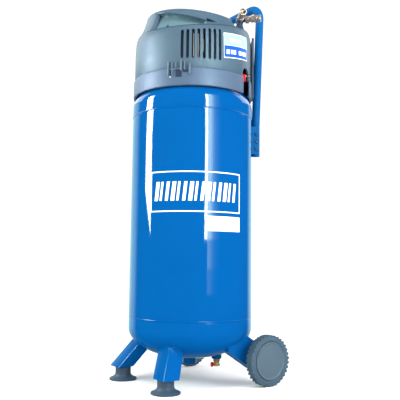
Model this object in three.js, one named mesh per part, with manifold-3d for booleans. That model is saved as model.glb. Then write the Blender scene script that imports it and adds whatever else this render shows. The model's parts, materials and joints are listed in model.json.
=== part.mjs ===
// Vertical oil-free air compressor: tank on two feet and two wheels, pump under a plastic drum, U handle behind.
// Millimetres, +Z up. The feet are at -Y, wheels and handle at +Y. Dimensions are taken from the tank's axis;
// the whole is then set over the middle of its footprint.
import * as THREE from 'three';
import { mergeVertices } from 'three/addons/utils/BufferGeometryUtils.js';
import Module from 'manifold-3d';

const wasm = await Module();
wasm.setup();

// ---------------------------------------------------------------- driving dimensions
const GAP = 0.3; // clearance between touching pieces
const SHEET = 3; // thickness of folded brackets
const MIDDLE_Y = 5.3; // the middle of the footprint lies this far behind the tank's axis

// tank
const TANK_R = 155;
const SHELL_WALL = 2;
const SEAM_LOW = 158;
const SEAM_HIGH = 661;
const HEAD_SKIRT = 26; // straight part of each head
const HEAD_RISE = 75.5; // elliptical part of each head
const HEAD_WALL = 2.5;
const HEAD_STEPS = 5; // facets from rim to crown
const TANK_SIDES = 32;
const LIP = 10; // lip of the head inside the shell

// feet and front legs
const FOOT_X = 99.5;
const FOOT_Y = -133.6;
const FOOT_R = 34;
const FOOT_POST_R = 19.5;
const FOOT_H = 32;
const LEG_W = 49.5; // across the web, along X
const LEG_D = 41; // depth of the flanges, along Y
const LEG_X = 79.5; // inner side of the leg at its foot
const LEG_Y = -157; // web of the leg at its foot
const LEG_LEAN = 0.597; // inward shift for each mm of height, in X and in Y

// wheels
const AXLE_Y = 115.4;
const AXLE_Z = 60.8;
const WHEEL_R = 60.8;
const WHEEL_IN = 152.9;
const WHEEL_OUT = 177.4;
const RIM_R = 45.6;
const CAP_R = 45.2;
const AXLE_R = 5;
const BRACKET_OUT = 135; // outer face of a wheel bracket
const BRACKET_W = 26;

// handle
const HANDLE_X = 77.5;
const HANDLE_Y = 151.5;
const HANDLE_R = 10.8;
const HANDLE_WALL = 1.5;
const HANDLE_LOW = 574;
const HANDLE_KNEE = 655; // above this the legs lean back
const HANDLE_TOP = 993.2; // centre line of the top bar
const HANDLE_LEAN = 0.047;
const HANDLE_BEND = 40;
const HANDLE_BOLTS = [592.5, 612.2, 632];

// housing
const BAND_LOW = 713;
const BAND_HIGH = 757;
const BAND_R = 154.5;
const DRUM_R = 152;
const DRUM_TOP = 884;
const HOUSING_WALL = 2.5;
const HOUSING_SIDES = 32;
const EDGE_MID = 896.7; // height of the drum's upper edge on the tank's axis
const EDGE_SLOPE = 0.19; // the edge falls this much for each mm towards its low side
const EDGE_LOW_SIDE = THREE.MathUtils.degToRad(-55);
const CAP_SIDES = 48;
const CAP_TOP = 947.6;
const CAP_SLOPE = 0.184; // the cap's crown falls this much for each mm towards its low side
const CAP_LOW_SIDE = THREE.MathUtils.degToRad(24.7);
const VENTS = 8;
const VENT_FROM = -45.2; // degrees round the drum
const VENT_STEP = 5.1;
const VENT_W = 7;
const VENT_LOW = 780;
const VENT_HIGH = 851;
const COVER_R = 160.5; // rear cover
const COVER_FROM = 47; // degrees round the drum, where the rear cover starts
const CONTROLS_Z = 800; // regulator knob and gauge on the rear cover
const KNOB_AZ = 81;
const GAUGE_AZ = 98;
const KNOB_STEM_R = 4;
const GAUGE_STEM_R = 5;
const SWITCH_AZ = 27; // degrees round the drum, centre of the switch notch
const NOTCH_W = 38;
const NOTCH_TOP = 783;

// pump
const SHAFT_Z = 843;
const SHAFT_R = 6;
const CYL_X = -60;
const BORE_R = 30;
const STROKE = 28;
const CYL_LOW = 879;
const CYL_HIGH = 917;
const DECK_Z = 772.3; // underside of the pump platform
const CRADLE_Z = 790;
const MOUNT_XS = [-74, 62];
const MOUNT_Y = 46;

// air outlet
const OUTLET = new THREE.Vector3(95, 80.5, 925);
const FRONT_COUPLER_AZ = -30;
const REAR_COUPLER_AZ = 38;

// ---------------------------------------------------------------- materials
const colour = (hex, roughness, metalness = 0) =>
  new THREE.MeshStandardMaterial({ color: hex, roughness, metalness });
const paint = colour(0x1270cd, 0.3);
const greyPlastic = colour(0x7f95a8, 0.45);
const darkPlastic = colour(0x33404f, 0.5);
const rubber = colour(0x50667f, 0.8);
const wheelPlastic = colour(0x6c8596, 0.6);
const steel = colour(0xb8bcc0, 0.35, 0.9);
const darkSteel = colour(0x4a4e54, 0.5, 0.8);
const aluminium = colour(0xc4c7c9, 0.45, 0.8);
const copper = colour(0xb8703a, 0.4, 0.8);
const brass = colour(0xc9a24a, 0.35, 0.9);
const redPlastic = colour(0xd8142a, 0.4);
const whitePlastic = colour(0xe8e8e4, 0.5);

// ---------------------------------------------------------------- geometry helpers
// One closed mesh, with shared vertices merged, flat slivers dropped and its faces pointing out.
function clean(geometry) {
  const bare = geometry.clone();
  for (const name of Object.keys(bare.attributes)) {
    if (name !== 'position') bare.deleteAttribute(name);
  }
  const merged = mergeVertices(bare, 1e-3);
  const p = merged.attributes.position;
  const index = merged.index.array;
  const kept = [];
  let volume = 0;
  const a = new THREE.Vector3();
  const b = new THREE.Vector3();
  const c = new THREE.Vector3();
  for (let i = 0; i < index.length; i += 3) {
    const [u, v, w] = index.subarray(i, i + 3);
    if (u === v || v === w || w === u) continue;
    kept.push(u, v, w);
    a.fromBufferAttribute(p, u);
    b.fromBufferAttribute(p, v);
    c.fromBufferAttribute(p, w);
    volume += a.dot(b.cross(c));
  }
  if (volume < 0) kept.reverse();
  merged.setIndex(kept);
  return merged;
}

function toSolid(geometry) {
  const g = clean(geometry);
  return new wasm.Manifold(new wasm.Mesh({
    numProp: 3,
    vertProperties: new Float32Array(g.attributes.position.array),
    triVerts: new Uint32Array(g.index.array),
  }));
}

function fromSolid(solid) {
  const mesh = solid.getMesh();
  const g = new THREE.BufferGeometry();
  g.setAttribute('position', new THREE.BufferAttribute(new Float32Array(mesh.vertProperties), 3));
  g.setIndex([...mesh.triVerts]);
  return g;
}

const join = (...list) => fromSolid(list.map(toSolid).reduce((sum, s) => sum.add(s)));
const cut = (base, ...tools) =>
  fromSolid(tools.map(toSolid).reduce((rest, t) => rest.subtract(t), toSolid(base)));

// A body turned about Z. The profile is a list of [radius, height] pairs; a ring closes on itself.
function turned(profile, sides, ring = false) {
  const points = profile.map(([r, z]) => new THREE.Vector2(r, z));
  if (ring) points.push(points[0].clone());
  return new THREE.LatheGeometry(points, sides).rotateX(Math.PI / 2);
}

const box = (x0, x1, y0, y1, z0, z1) =>
  new THREE.BoxGeometry(x1 - x0, y1 - y0, z1 - z0).translate((x0 + x1) / 2, (y0 + y1) / 2, (z0 + z1) / 2);

// A round bar along Z, from z0 to z1.
const bar = (r, z0, z1, sides = 12, top = r) =>
  new THREE.CylinderGeometry(top, r, z1 - z0, sides).rotateX(Math.PI / 2).translate(0, 0, (z0 + z1) / 2);

// Turns a body made along +Z so that it lies along +X.
const alongX = (geometry) => geometry.rotateY(Math.PI / 2);

// A flat plate: an outline of [u, v] pairs in the XY plane, thick along Z.
function plate(outline, thickness) {
  const shape = new THREE.Shape(outline.map(([u, v]) => new THREE.Vector2(u, v)));
  return new THREE.ExtrudeGeometry(shape, { depth: thickness, bevelEnabled: false });
}

// Stands an XY plate up in the YZ plane, thick along +X from x.
const inYZ = (geometry, x) => geometry.rotateX(Math.PI / 2).rotateZ(Math.PI / 2).translate(x, 0, 0);

// A route through given points that a tube follows station by station.
class Route extends THREE.Curve {
  constructor(points) {
    super();
    this.points = points;
  }

  getPoint(t, target = new THREE.Vector3()) {
    const at = t * (this.points.length - 1);
    const i = Math.min(Math.floor(at), this.points.length - 2);
    return target.lerpVectors(this.points[i], this.points[i + 1], at - i);
  }

  getPointAt(u, target) {
    return this.getPoint(u, target);
  }

  getTangentAt(u, target = new THREE.Vector3()) {
    const at = Math.round(u * (this.points.length - 1));
    const before = this.points[Math.max(at - 1, 0)];
    const after = this.points[Math.min(at + 1, this.points.length - 1)];
    return target.subVectors(after, before).normalize();
  }

  getSpacedPoints() {
    return this.points.map((p) => p.clone());
  }
}

// A tube of outer radius r along the points; a wall makes it hollow.
function tube(points, r, sides, wall = 0) {
  const shape = new THREE.Shape().absarc(0, 0, r, 0, 2 * Math.PI);
  if (wall) shape.holes.push(new THREE.Path().absarc(0, 0, r - wall, 0, 2 * Math.PI, true));
  return new THREE.ExtrudeGeometry(shape, {
    steps: points.length - 1,
    extrudePath: new Route(points),
    curveSegments: sides,
    bevelEnabled: false,
  });
}

// Straight runs between corners, each rounded by an arc, with arcSteps to a quarter turn.
function rounded(corners, radius, arcSteps) {
  const out = [corners[0]];
  for (let i = 1; i < corners.length - 1; i += 1) {
    const back = corners[i - 1].clone().sub(corners[i]).normalize();
    const on = corners[i + 1].clone().sub(corners[i]).normalize();
    const half = back.angleTo(on) / 2;
    const reach = radius / Math.tan(half);
    const centre = back.clone().add(on).normalize().multiplyScalar(radius / Math.sin(half)).add(corners[i]);
    const from = back.clone().multiplyScalar(reach).add(corners[i]).sub(centre);
    const to = on.clone().multiplyScalar(reach).add(corners[i]).sub(centre);
    const axis = from.clone().cross(to).normalize();
    const sweep = Math.PI - 2 * half;
    const steps = Math.max(1, Math.round((arcSteps * sweep) / (Math.PI / 2)));
    for (let s = 0; s <= steps; s += 1) {
      out.push(from.clone().applyAxisAngle(axis, (sweep * s) / steps).add(centre));
    }
  }
  out.push(corners[corners.length - 1]);
  return out;
}

const vec = (x, y, z) => new THREE.Vector3(x, y, z);
const rad = THREE.MathUtils.degToRad;

// ---------------------------------------------------------------- scene graph
const compressor = new THREE.Group();
const onTankAxis = new THREE.Group();
onTankAxis.position.y = -MIDDLE_Y;
compressor.add(onTankAxis);

function add(name, geometry, material, parent = onTankAxis) {
  const mesh = new THREE.Mesh(clean(geometry), material);
  mesh.name = name;
  parent.add(mesh);
  return mesh;
}

// A group turned so that its +X points outwards at an angle round the tank.
function facing(degrees) {
  const group = new THREE.Group();
  group.rotation.z = rad(degrees);
  onTankAxis.add(group);
  return group;
}

// Runs once for each side, with the side's name and its sign along X.
function bothSides(build) {
  build('left', -1);
  build('right', 1);
}

// ---------------------------------------------------------------- tank
const ellipse = (r, rise, steps) => Array.from({ length: steps + 1 }, (_, i) => {
  const a = (i / steps) * (Math.PI / 2);
  return [r * Math.cos(a), rise * Math.sin(a)];
});

// One head, opening downwards, with its seam at height 0.
function tankHead() {
  const outer = ellipse(TANK_R, HEAD_RISE, HEAD_STEPS).map(([r, z]) => [r, z + HEAD_SKIRT]);
  const inner = ellipse(TANK_R - HEAD_WALL, HEAD_RISE - HEAD_WALL, HEAD_STEPS - 1);
  const lipR = TANK_R - SHELL_WALL - GAP;
  return turned([
    ...inner.map(([r, z]) => [r, z + HEAD_SKIRT]).reverse(),
    [TANK_R - HEAD_WALL, 4],
    [lipR - HEAD_WALL, -LIP],
    [lipR, -LIP],
    [lipR, GAP / 2],
    [TANK_R, GAP / 2],
    ...outer,
  ].map(([r, z]) => [Math.abs(r) < 1e-6 ? 0 : r, z]), TANK_SIDES);
}

// The space that the tank fills, a little larger, for trimming what is welded to it.
const tankSpace = () => {
  const curve = ellipse(TANK_R + GAP, HEAD_RISE + GAP, HEAD_STEPS);
  const low = SEAM_LOW - HEAD_SKIRT;
  const high = SEAM_HIGH + HEAD_SKIRT;
  return turned([
    ...curve.map(([r, z]) => [Math.abs(r) < 1e-6 ? 0 : r, low - z]).reverse(),
    ...curve.map(([r, z]) => [Math.abs(r) < 1e-6 ? 0 : r, high + z]),
  ], TANK_SIDES);
};

const DRAIN = vec(47, 50, 0);
const DRAIN_BOSS_LOW = 54.5;
const CENTRE_BOSS_LOW = 42;
const CHECK_VALVE = vec(-62, 84, 0);
const headHeight = (r) => SEAM_HIGH + HEAD_SKIRT + HEAD_RISE * Math.sqrt(1 - (r / TANK_R) ** 2);

const HANDLE_AZ = THREE.MathUtils.radToDeg(Math.atan2(HANDLE_Y, HANDLE_X));
const HANDLE_RADIAL = Math.hypot(HANDLE_X, HANDLE_Y);
const CHEEK = HANDLE_R + GAP; // inner face of a saddle's cheek, from the tube's axis
const SADDLE_LOW = HANDLE_LOW + 4;
const SADDLE_HIGH = HANDLE_KNEE - 3;

// A folded saddle on the shell that takes the foot of the handle between its cheeks.
function handleSaddle(degrees) {
  return cut(
    box(TANK_R - 1.4, HANDLE_RADIAL + 4, -CHEEK - SHEET, CHEEK + SHEET, SADDLE_LOW, SADDLE_HIGH),
    box(HANDLE_RADIAL - HANDLE_R - GAP, 190, -CHEEK, CHEEK, SADDLE_LOW - 1, SADDLE_HIGH + 1),
    ...HANDLE_BOLTS.map((z) => bar(3.5, -30, 30, 8).rotateX(Math.PI / 2).translate(HANDLE_RADIAL, 0, z)),
  ).rotateZ(rad(degrees));
}

function buildTank() {
  const shell = turned([
    [TANK_R - SHELL_WALL, SEAM_LOW + GAP / 2],
    [TANK_R, SEAM_LOW + GAP / 2],
    [TANK_R, SEAM_HIGH - GAP / 2],
    [TANK_R - SHELL_WALL, SEAM_HIGH - GAP / 2],
  ], TANK_SIDES, true);
  add('tank_shell', join(shell, handleSaddle(HANDLE_AZ), handleSaddle(180 - HANDLE_AZ)), paint);
  const valvePort = bar(8.5, 700, 790).translate(CHECK_VALVE.x, CHECK_VALVE.y, 0);
  add('tank_head_top', cut(tankHead().translate(0, 0, SEAM_HIGH), valvePort), paint);
  const drainBoss = bar(13, DRAIN_BOSS_LOW, 68, 6).translate(DRAIN.x, DRAIN.y, 0);
  const centreBoss = bar(17, CENTRE_BOSS_LOW, 60, 14);
  const drainBore = bar(5.5, 50, 80, 12).translate(DRAIN.x, DRAIN.y, 0);
  const lower = join(tankHead().rotateX(Math.PI).translate(0, 0, SEAM_LOW), drainBoss, centreBoss);
  add('tank_head_bottom', cut(lower, drainBore), paint);
}

function buildDrain() {
  const group = new THREE.Group();
  group.position.copy(DRAIN);
  onTankAxis.add(group);
  const body = turned([
    [0, 37], [7.5, 37], [8.5, 38], [8.5, 43], [7, 44], [7, 47], [8.5, 48], [8.5, 54], [5, 54], [5, 62], [0, 62],
  ], 12);
  const stemHole = alongX(bar(2.8, 3, 12, 10)).translate(0, 0, 41).rotateZ(rad(-112));
  add('drain_valve', cut(body, stemHole), brass, group);
  const knob = join(alongX(bar(6, 9.2, 14.5, 12)), alongX(bar(2.3, 3.4, 10, 10))).translate(0, 0, 41);
  add('drain_knob', knob.rotateZ(rad(-112)), redPlastic, group);
}

// ---------------------------------------------------------------- legs, feet and wheels
// A channel open to the back, leaning in towards the tank as it rises.
function frontLeg(side) {
  const height = 95;
  const outline = [
    [0, 0], [LEG_W, 0], [LEG_W, LEG_D], [LEG_W - SHEET, LEG_D],
    [LEG_W - SHEET, SHEET], [SHEET, SHEET], [SHEET, LEG_D], [0, LEG_D],
  ];
  const lean = new THREE.Matrix4().makeShear(0, 0, 0, 0, -LEG_LEAN, LEG_LEAN);
  const channel = plate(outline, height).applyMatrix4(lean);
  const sole = plate([[0, 0], [LEG_W, 0], [LEG_W, LEG_D], [0, LEG_D]], SHEET).applyMatrix4(lean);
  const leg = join(channel, sole).translate(LEG_X, LEG_Y, FOOT_H + GAP);
  const boltHole = bar(4.4, FOOT_H - 5, FOOT_H + 10, 12).translate(FOOT_X, FOOT_Y, 0);
  const trimmed = cut(leg, tankSpace(), boltHole);
  return side > 0 ? trimmed : mirrored(trimmed);
}

// The same body on the other side of the YZ plane.
function mirrored(geometry) {
  return clean(geometry.clone().scale(-1, 1, 1));
}

function buildFeet() {
  bothSides((name, side) => {
    add(`leg_front_${name}`, frontLeg(side), paint);
    const at = new THREE.Group();
    at.position.set(side * FOOT_X, FOOT_Y, 0);
    onTankAxis.add(at);
    add(`foot_${name}`, turned([
      [4.5, FOOT_H], [FOOT_POST_R, FOOT_H], [FOOT_POST_R, 12], [FOOT_R, 4.5], [FOOT_R, 0],
      [FOOT_R - 4, 0], [15, 6], [10, 6], [10, 14], [4.5, 14],
    ], 16, true), rubber, at);
    const bolt = join(bar(8, 7.5, 13.6, 6), bar(4, 10, 48, 10), bar(7, FOOT_H + SHEET + 2 * GAP, 42, 6));
    add(`foot_bolt_${name}`, bolt, steel, at);
  });
}

// A sheet arm with its fold along the lower edge, reaching back from the tank to the axle.
function wheelBracket(side) {
  const outline = [
    [18, 84], [94, 37], [108, 35.5], [124, 37.5], [136, 47],
    [140, 60.8], [134, 78], [112, 96], [77, 118], [18, 118],
  ];
  const arm = inYZ(plate(outline, BRACKET_W), BRACKET_OUT - BRACKET_W);
  const hollow = inYZ(plate(outline, BRACKET_W - 2 * SHEET), BRACKET_OUT - BRACKET_W + SHEET)
    .translate(0, 2.5, 3.8);
  const upper = inYZ(plate([[0, 100], [160, 100], [160, 160], [0, 160]], BRACKET_W - 2 * SHEET),
    BRACKET_OUT - BRACKET_W + SHEET);
  const back = inYZ(plate([[110, 64], [160, 64], [160, 120], [110, 120]], BRACKET_W - 2 * SHEET),
    BRACKET_OUT - BRACKET_W + SHEET);
  const hole = alongX(bar(AXLE_R + 0.5, 100, 150, 12)).translate(0, AXLE_Y, AXLE_Z);
  const trimmed = cut(arm, hollow, upper, back, tankSpace(), hole);
  return side > 0 ? trimmed : mirrored(trimmed);
}

function buildWheels() {
  bothSides((name, side) => {
    add(`wheel_bracket_${name}`, wheelBracket(side), paint);
    const at = new THREE.Group();
    at.position.set(0, AXLE_Y, AXLE_Z);
    onTankAxis.add(at);
    const place = (geometry) => (side > 0 ? geometry : mirrored(geometry));
    const bolt = join(
      alongX(bar(9, 101, BRACKET_OUT - BRACKET_W - GAP, 6)),
      alongX(bar(AXLE_R, 105, 170, 12)),
      alongX(bar(8.5, 166, 170, 6)),
    );
    add(`axle_bolt_${name}`, place(bolt), steel, at);
    add(`wheel_tyre_${name}`, place(alongX(turned([
      [RIM_R + GAP, WHEEL_IN + 1.5], [52, WHEEL_IN], [57.5, WHEEL_IN + 1], [WHEEL_R, WHEEL_IN + 5],
      [WHEEL_R, WHEEL_OUT - 6], [57.5, WHEEL_OUT - 2], [52, WHEEL_OUT - 1], [RIM_R + GAP, WHEEL_OUT - 2],
    ], 24, true))), rubber, at);
    add(`wheel_hub_${name}`, place(alongX(turned([
      [AXLE_R + 0.5, BRACKET_OUT + 2], [12, BRACKET_OUT + 2], [12, 158], [41, 158], [42, WHEEL_IN + 2],
      [RIM_R, WHEEL_IN + 2], [RIM_R, WHEEL_OUT - 5.5], [42, WHEEL_OUT - 5.5], [41, 162], [12, 162],
      [12, 165.2], [AXLE_R + 0.5, 165.2],
    ], 24, true))), wheelPlastic, at);
    add(`wheel_cap_${name}`, place(alongX(turned([
      [0, WHEEL_OUT - 4], [38, WHEEL_OUT - 4], [38, WHEEL_OUT - 5.2], [CAP_R, WHEEL_OUT - 5.2],
      [CAP_R, WHEEL_OUT - 1], [CAP_R - 1, WHEEL_OUT], [0, WHEEL_OUT],
    ], 24))), wheelPlastic, at);
  });
}

// ---------------------------------------------------------------- handle
const leanBack = (z) => HANDLE_Y + HANDLE_LEAN * Math.max(0, z - HANDLE_KNEE);

function buildHandle() {
  const leg = (side) => [
    vec(side * HANDLE_X, HANDLE_Y, HANDLE_LOW),
    vec(side * HANDLE_X, HANDLE_Y, HANDLE_KNEE),
    vec(side * HANDLE_X, leanBack(HANDLE_TOP), HANDLE_TOP),
  ];
  const corners = [...leg(1), ...leg(-1).reverse()];
  const tubeBody = tube(rounded(corners, HANDLE_BEND, 5), HANDLE_R, 5, HANDLE_WALL);
  const boltHoles = [];
  bothSides((name, side) => {
    const turn = side > 0 ? rad(HANDLE_AZ) : Math.PI - rad(HANDLE_AZ);
    for (const z of HANDLE_BOLTS) {
      const hole = bar(3.5, -30, 30, 8).rotateX(Math.PI / 2).translate(HANDLE_RADIAL, 0, z);
      boltHoles.push(hole.rotateZ(turn));
    }
  });
  add('handle', cut(tubeBody, ...boltHoles), paint);

  bothSides((name, side) => {
    const at = facing(side > 0 ? HANDLE_AZ : 180 - HANDLE_AZ);
    const face = CHEEK + SHEET + GAP;
    const bolts = HANDLE_BOLTS.flatMap((z) => [
      bar(3, -face - 2, face + 1, 8).rotateX(Math.PI / 2).translate(HANDLE_RADIAL, 0, z),
      bar(5.5, face, face + 3.5, 6).rotateX(Math.PI / 2).translate(HANDLE_RADIAL, 0, z),
    ]);
    const strip = box(HANDLE_RADIAL - 6, HANDLE_RADIAL + 6, face, face + 2.5, SADDLE_LOW + 4, SADDLE_HIGH - 4);
    const set = join(strip, ...bolts);
    add(`handle_bolts_${name}`, side > 0 ? set : clean(set.scale(1, -1, 1)), steel, at);
  });
}

// ---------------------------------------------------------------- housing
const notch = () => {
  const arch = NOTCH_TOP - NOTCH_W / 2;
  return join(
    box(118, 170, -NOTCH_W / 2, NOTCH_W / 2, BAND_LOW - 12, arch),
    alongX(bar(NOTCH_W / 2, 118, 170, 16)).translate(0, 0, arch),
  ).rotateZ(rad(SWITCH_AZ));
};

function housingBand() {
  const ledge = DRUM_R - HOUSING_WALL - GAP;
  const band = turned([
    [BAND_R, BAND_LOW], [BAND_R, BAND_HIGH], [ledge, BAND_HIGH], [ledge, BAND_HIGH + 8],
    [ledge - HOUSING_WALL, BAND_HIGH + 8], [ledge - HOUSING_WALL, BAND_HIGH - 3],
    [BAND_R - HOUSING_WALL, BAND_HIGH - 3],
    [BAND_R - HOUSING_WALL, BAND_LOW],
  ], HOUSING_SIDES, true);
  const clipPocket = box(148.5, 160, -17, 17, 733, 752).rotateZ(rad(-47));
  const clipWall = box(144, 149, -20, 20, 729, 756).rotateZ(rad(-47));
  const clipSocket = cut(clipWall, box(146.5, 160, -17.5, 17.5, 732, 753).rotateZ(rad(-47)));
  return cut(join(band, clipSocket), clipPocket, notch());
}

// How far a point lies towards a direction round the axis.
const towards = (p, direction) => p.x * Math.cos(direction) + p.y * Math.sin(direction);

// Rise of the sloping edge above DRUM_TOP at a point.
const edgeRise = (p) => EDGE_MID - DRUM_TOP - EDGE_SLOPE * towards(p, EDGE_LOW_SIDE);

// Moves every vertex of a geometry by a rule.
function reshape(geometry, rule) {
  const position = geometry.attributes.position;
  for (let i = 0; i < position.count; i += 1) {
    const moved = rule(new THREE.Vector3().fromBufferAttribute(position, i));
    position.setXYZ(i, moved.x, moved.y, moved.z);
  }
  return geometry;
}

function housingDrum() {
  const outer = [[DRUM_R, BAND_HIGH + GAP], [151.2, 849], [148.5, 867], [141.5, DRUM_TOP]];
  const straight = turned([
    ...outer,
    ...outer.map(([r, z]) => [r - HOUSING_WALL, z]).reverse(),
  ], HOUSING_SIDES, true);
  const drum = reshape(straight, (p) => {
    p.z += edgeRise(p) * Math.max(0, (p.z - 800) / (DRUM_TOP - 800));
    return p;
  });
  const slots = Array.from({ length: VENTS }, (_, i) => {
    const slot = join(
      box(130, 160, -VENT_W / 2, VENT_W / 2, VENT_LOW + VENT_W / 2, VENT_HIGH - VENT_W / 2),
      alongX(bar(VENT_W / 2, 130, 160, 6)).translate(0, 0, VENT_LOW + VENT_W / 2),
      alongX(bar(VENT_W / 2, 130, 160, 6)).translate(0, 0, VENT_HIGH - VENT_W / 2),
    );
    return slot.rotateZ(rad(VENT_FROM + i * VENT_STEP));
  });
  return cut(drum, ...slots, notch());
}

// Fraction from 0 to 1 with a soft start and end.
const soft = (x, from, to) => THREE.MathUtils.smoothstep(x, from, to);

// Depth of a hollow in the cap's wall between two angles round the axis.
function hollow(az, from, to, edge, depth) {
  return depth * soft(az, from, from + edge) * (1 - soft(az, to - edge, to));
}

// Shapes a point of the cap: the sloping edge, the falling crown, the front scoop and the outlet's recess.
function shapeCap(p) {
  const lift = (p.z - DRUM_TOP) / (CAP_TOP - DRUM_TOP);
  const az = THREE.MathUtils.radToDeg(Math.atan2(p.y, p.x));
  const brow = 920 - 0.48 * Math.max(0, az + 72);
  const scoop = hollow(az, -88, -12, 10, 12) * soft(p.z, 885.5, 889.5) * (1 - soft(p.z, brow - 5, brow + 4));
  const recess = hollow(az, 12, 72, 14, 24) * soft(p.z, 885, 888) * (1 - soft(p.z, 912, 934));
  const r = Math.hypot(p.x, p.y);
  const k = r > 1 ? (r - scoop - recess) / r : 1;
  const z = p.z + edgeRise(p) * (1 - lift) - CAP_SLOPE * towards(p, CAP_LOW_SIDE) * lift;
  return vec(p.x * k, p.y * k, z);
}

function housingCap() {
  const outer = [
    [141.5, DRUM_TOP + GAP], [139.4, 887.5], [136.9, 891.5], [133.9, 897], [130.8, 903], [128.5, 909.3],
    [126, 915], [123.6, 920.5], [115.6, 927], [104, 932], [90, 936.7], [50, 945], [0, CAP_TOP],
  ];
  const inner = [
    [0, 945], [49.5, 942.4], [89, 934.1], [113.6, 924.9], [121, 919], [125.7, 909], [131.5, 896],
    [136.6, 887], [138.9, DRUM_TOP + GAP],
  ];
  const cap = reshape(turned([...outer, ...inner], CAP_SIDES, true), shapeCap);
  return cut(cap, bar(12, 870, 950, 14).translate(OUTLET.x, OUTLET.y, 0));
}

// Dark panel over the back of the drum, with a sloping top. Inset makes the hollow behind it.
function rearCoverBlock(inset, inner, low) {
  const from = rad(COVER_FROM) + inset / COVER_R;
  const to = rad(180 - COVER_FROM) - inset / COVER_R;
  const arc = (r) => Array.from({ length: 13 }, (_, i) => {
    const a = from + ((to - from) * i) / 12;
    return [r * Math.cos(a), r * Math.sin(a)];
  });
  const outline = [...arc(COVER_R - inset), ...arc(inner).reverse()];
  const block = plate(outline, 882 - inset - low).translate(0, 0, low);
  const slope = box(-160, 160, 90, 200, 0, 70).rotateX(rad(-34)).translate(0, 0, 962 - 1.2 * inset);
  return cut(block, slope);
}

function rearCover() {
  const stemHole = (r, az) => alongX(bar(r + 0.5, 140, 170, 12)).translate(0, 0, CONTROLS_Z).rotateZ(rad(az));
  return cut(
    rearCoverBlock(0, DRUM_R + 3, 722),
    rearCoverBlock(HOUSING_WALL, DRUM_R - 8, 715),
    stemHole(KNOB_STEM_R, KNOB_AZ),
    stemHole(GAUGE_STEM_R, GAUGE_AZ),
  );
}

// Regulator knob and gauge stand on the rear cover between the handle's legs.
function buildRearControls() {
  const knob = join(
    alongX(bar(15, COVER_R + 1.2, COVER_R + 13, 16, 13.5)),
    alongX(bar(KNOB_STEM_R, COVER_R - 5, COVER_R + 3, 10)),
  );
  add('regulator_knob', knob.translate(0, 0, CONTROLS_Z), darkPlastic, facing(KNOB_AZ));
  const gauge = cut(
    join(
      alongX(bar(20, COVER_R + 1.2, COVER_R + 13, 20)),
      alongX(bar(GAUGE_STEM_R, COVER_R - 5, COVER_R + 3, 10)),
    ),
    alongX(bar(17.6, COVER_R + 10, COVER_R + 15, 20)),
  );
  const at = facing(GAUGE_AZ);
  add('pressure_gauge', gauge.translate(0, 0, CONTROLS_Z), steel, at);
  const needle = join(
    box(COVER_R + 10.4, COVER_R + 11.4, -0.8, 0.8, -4, 15),
    alongX(bar(2, COVER_R + 10.4, COVER_R + 12.4, 8)),
  ).rotateX(rad(135));
  add('gauge_needle', needle.translate(0, 0, CONTROLS_Z), redPlastic, at);
}

function buildHousing() {
  add('housing_band', housingBand(), greyPlastic);
  add('housing_drum', housingDrum(), greyPlastic);
  add('housing_cap', housingCap(), greyPlastic);
  add('rear_cover', rearCover(), darkPlastic);
}

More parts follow.
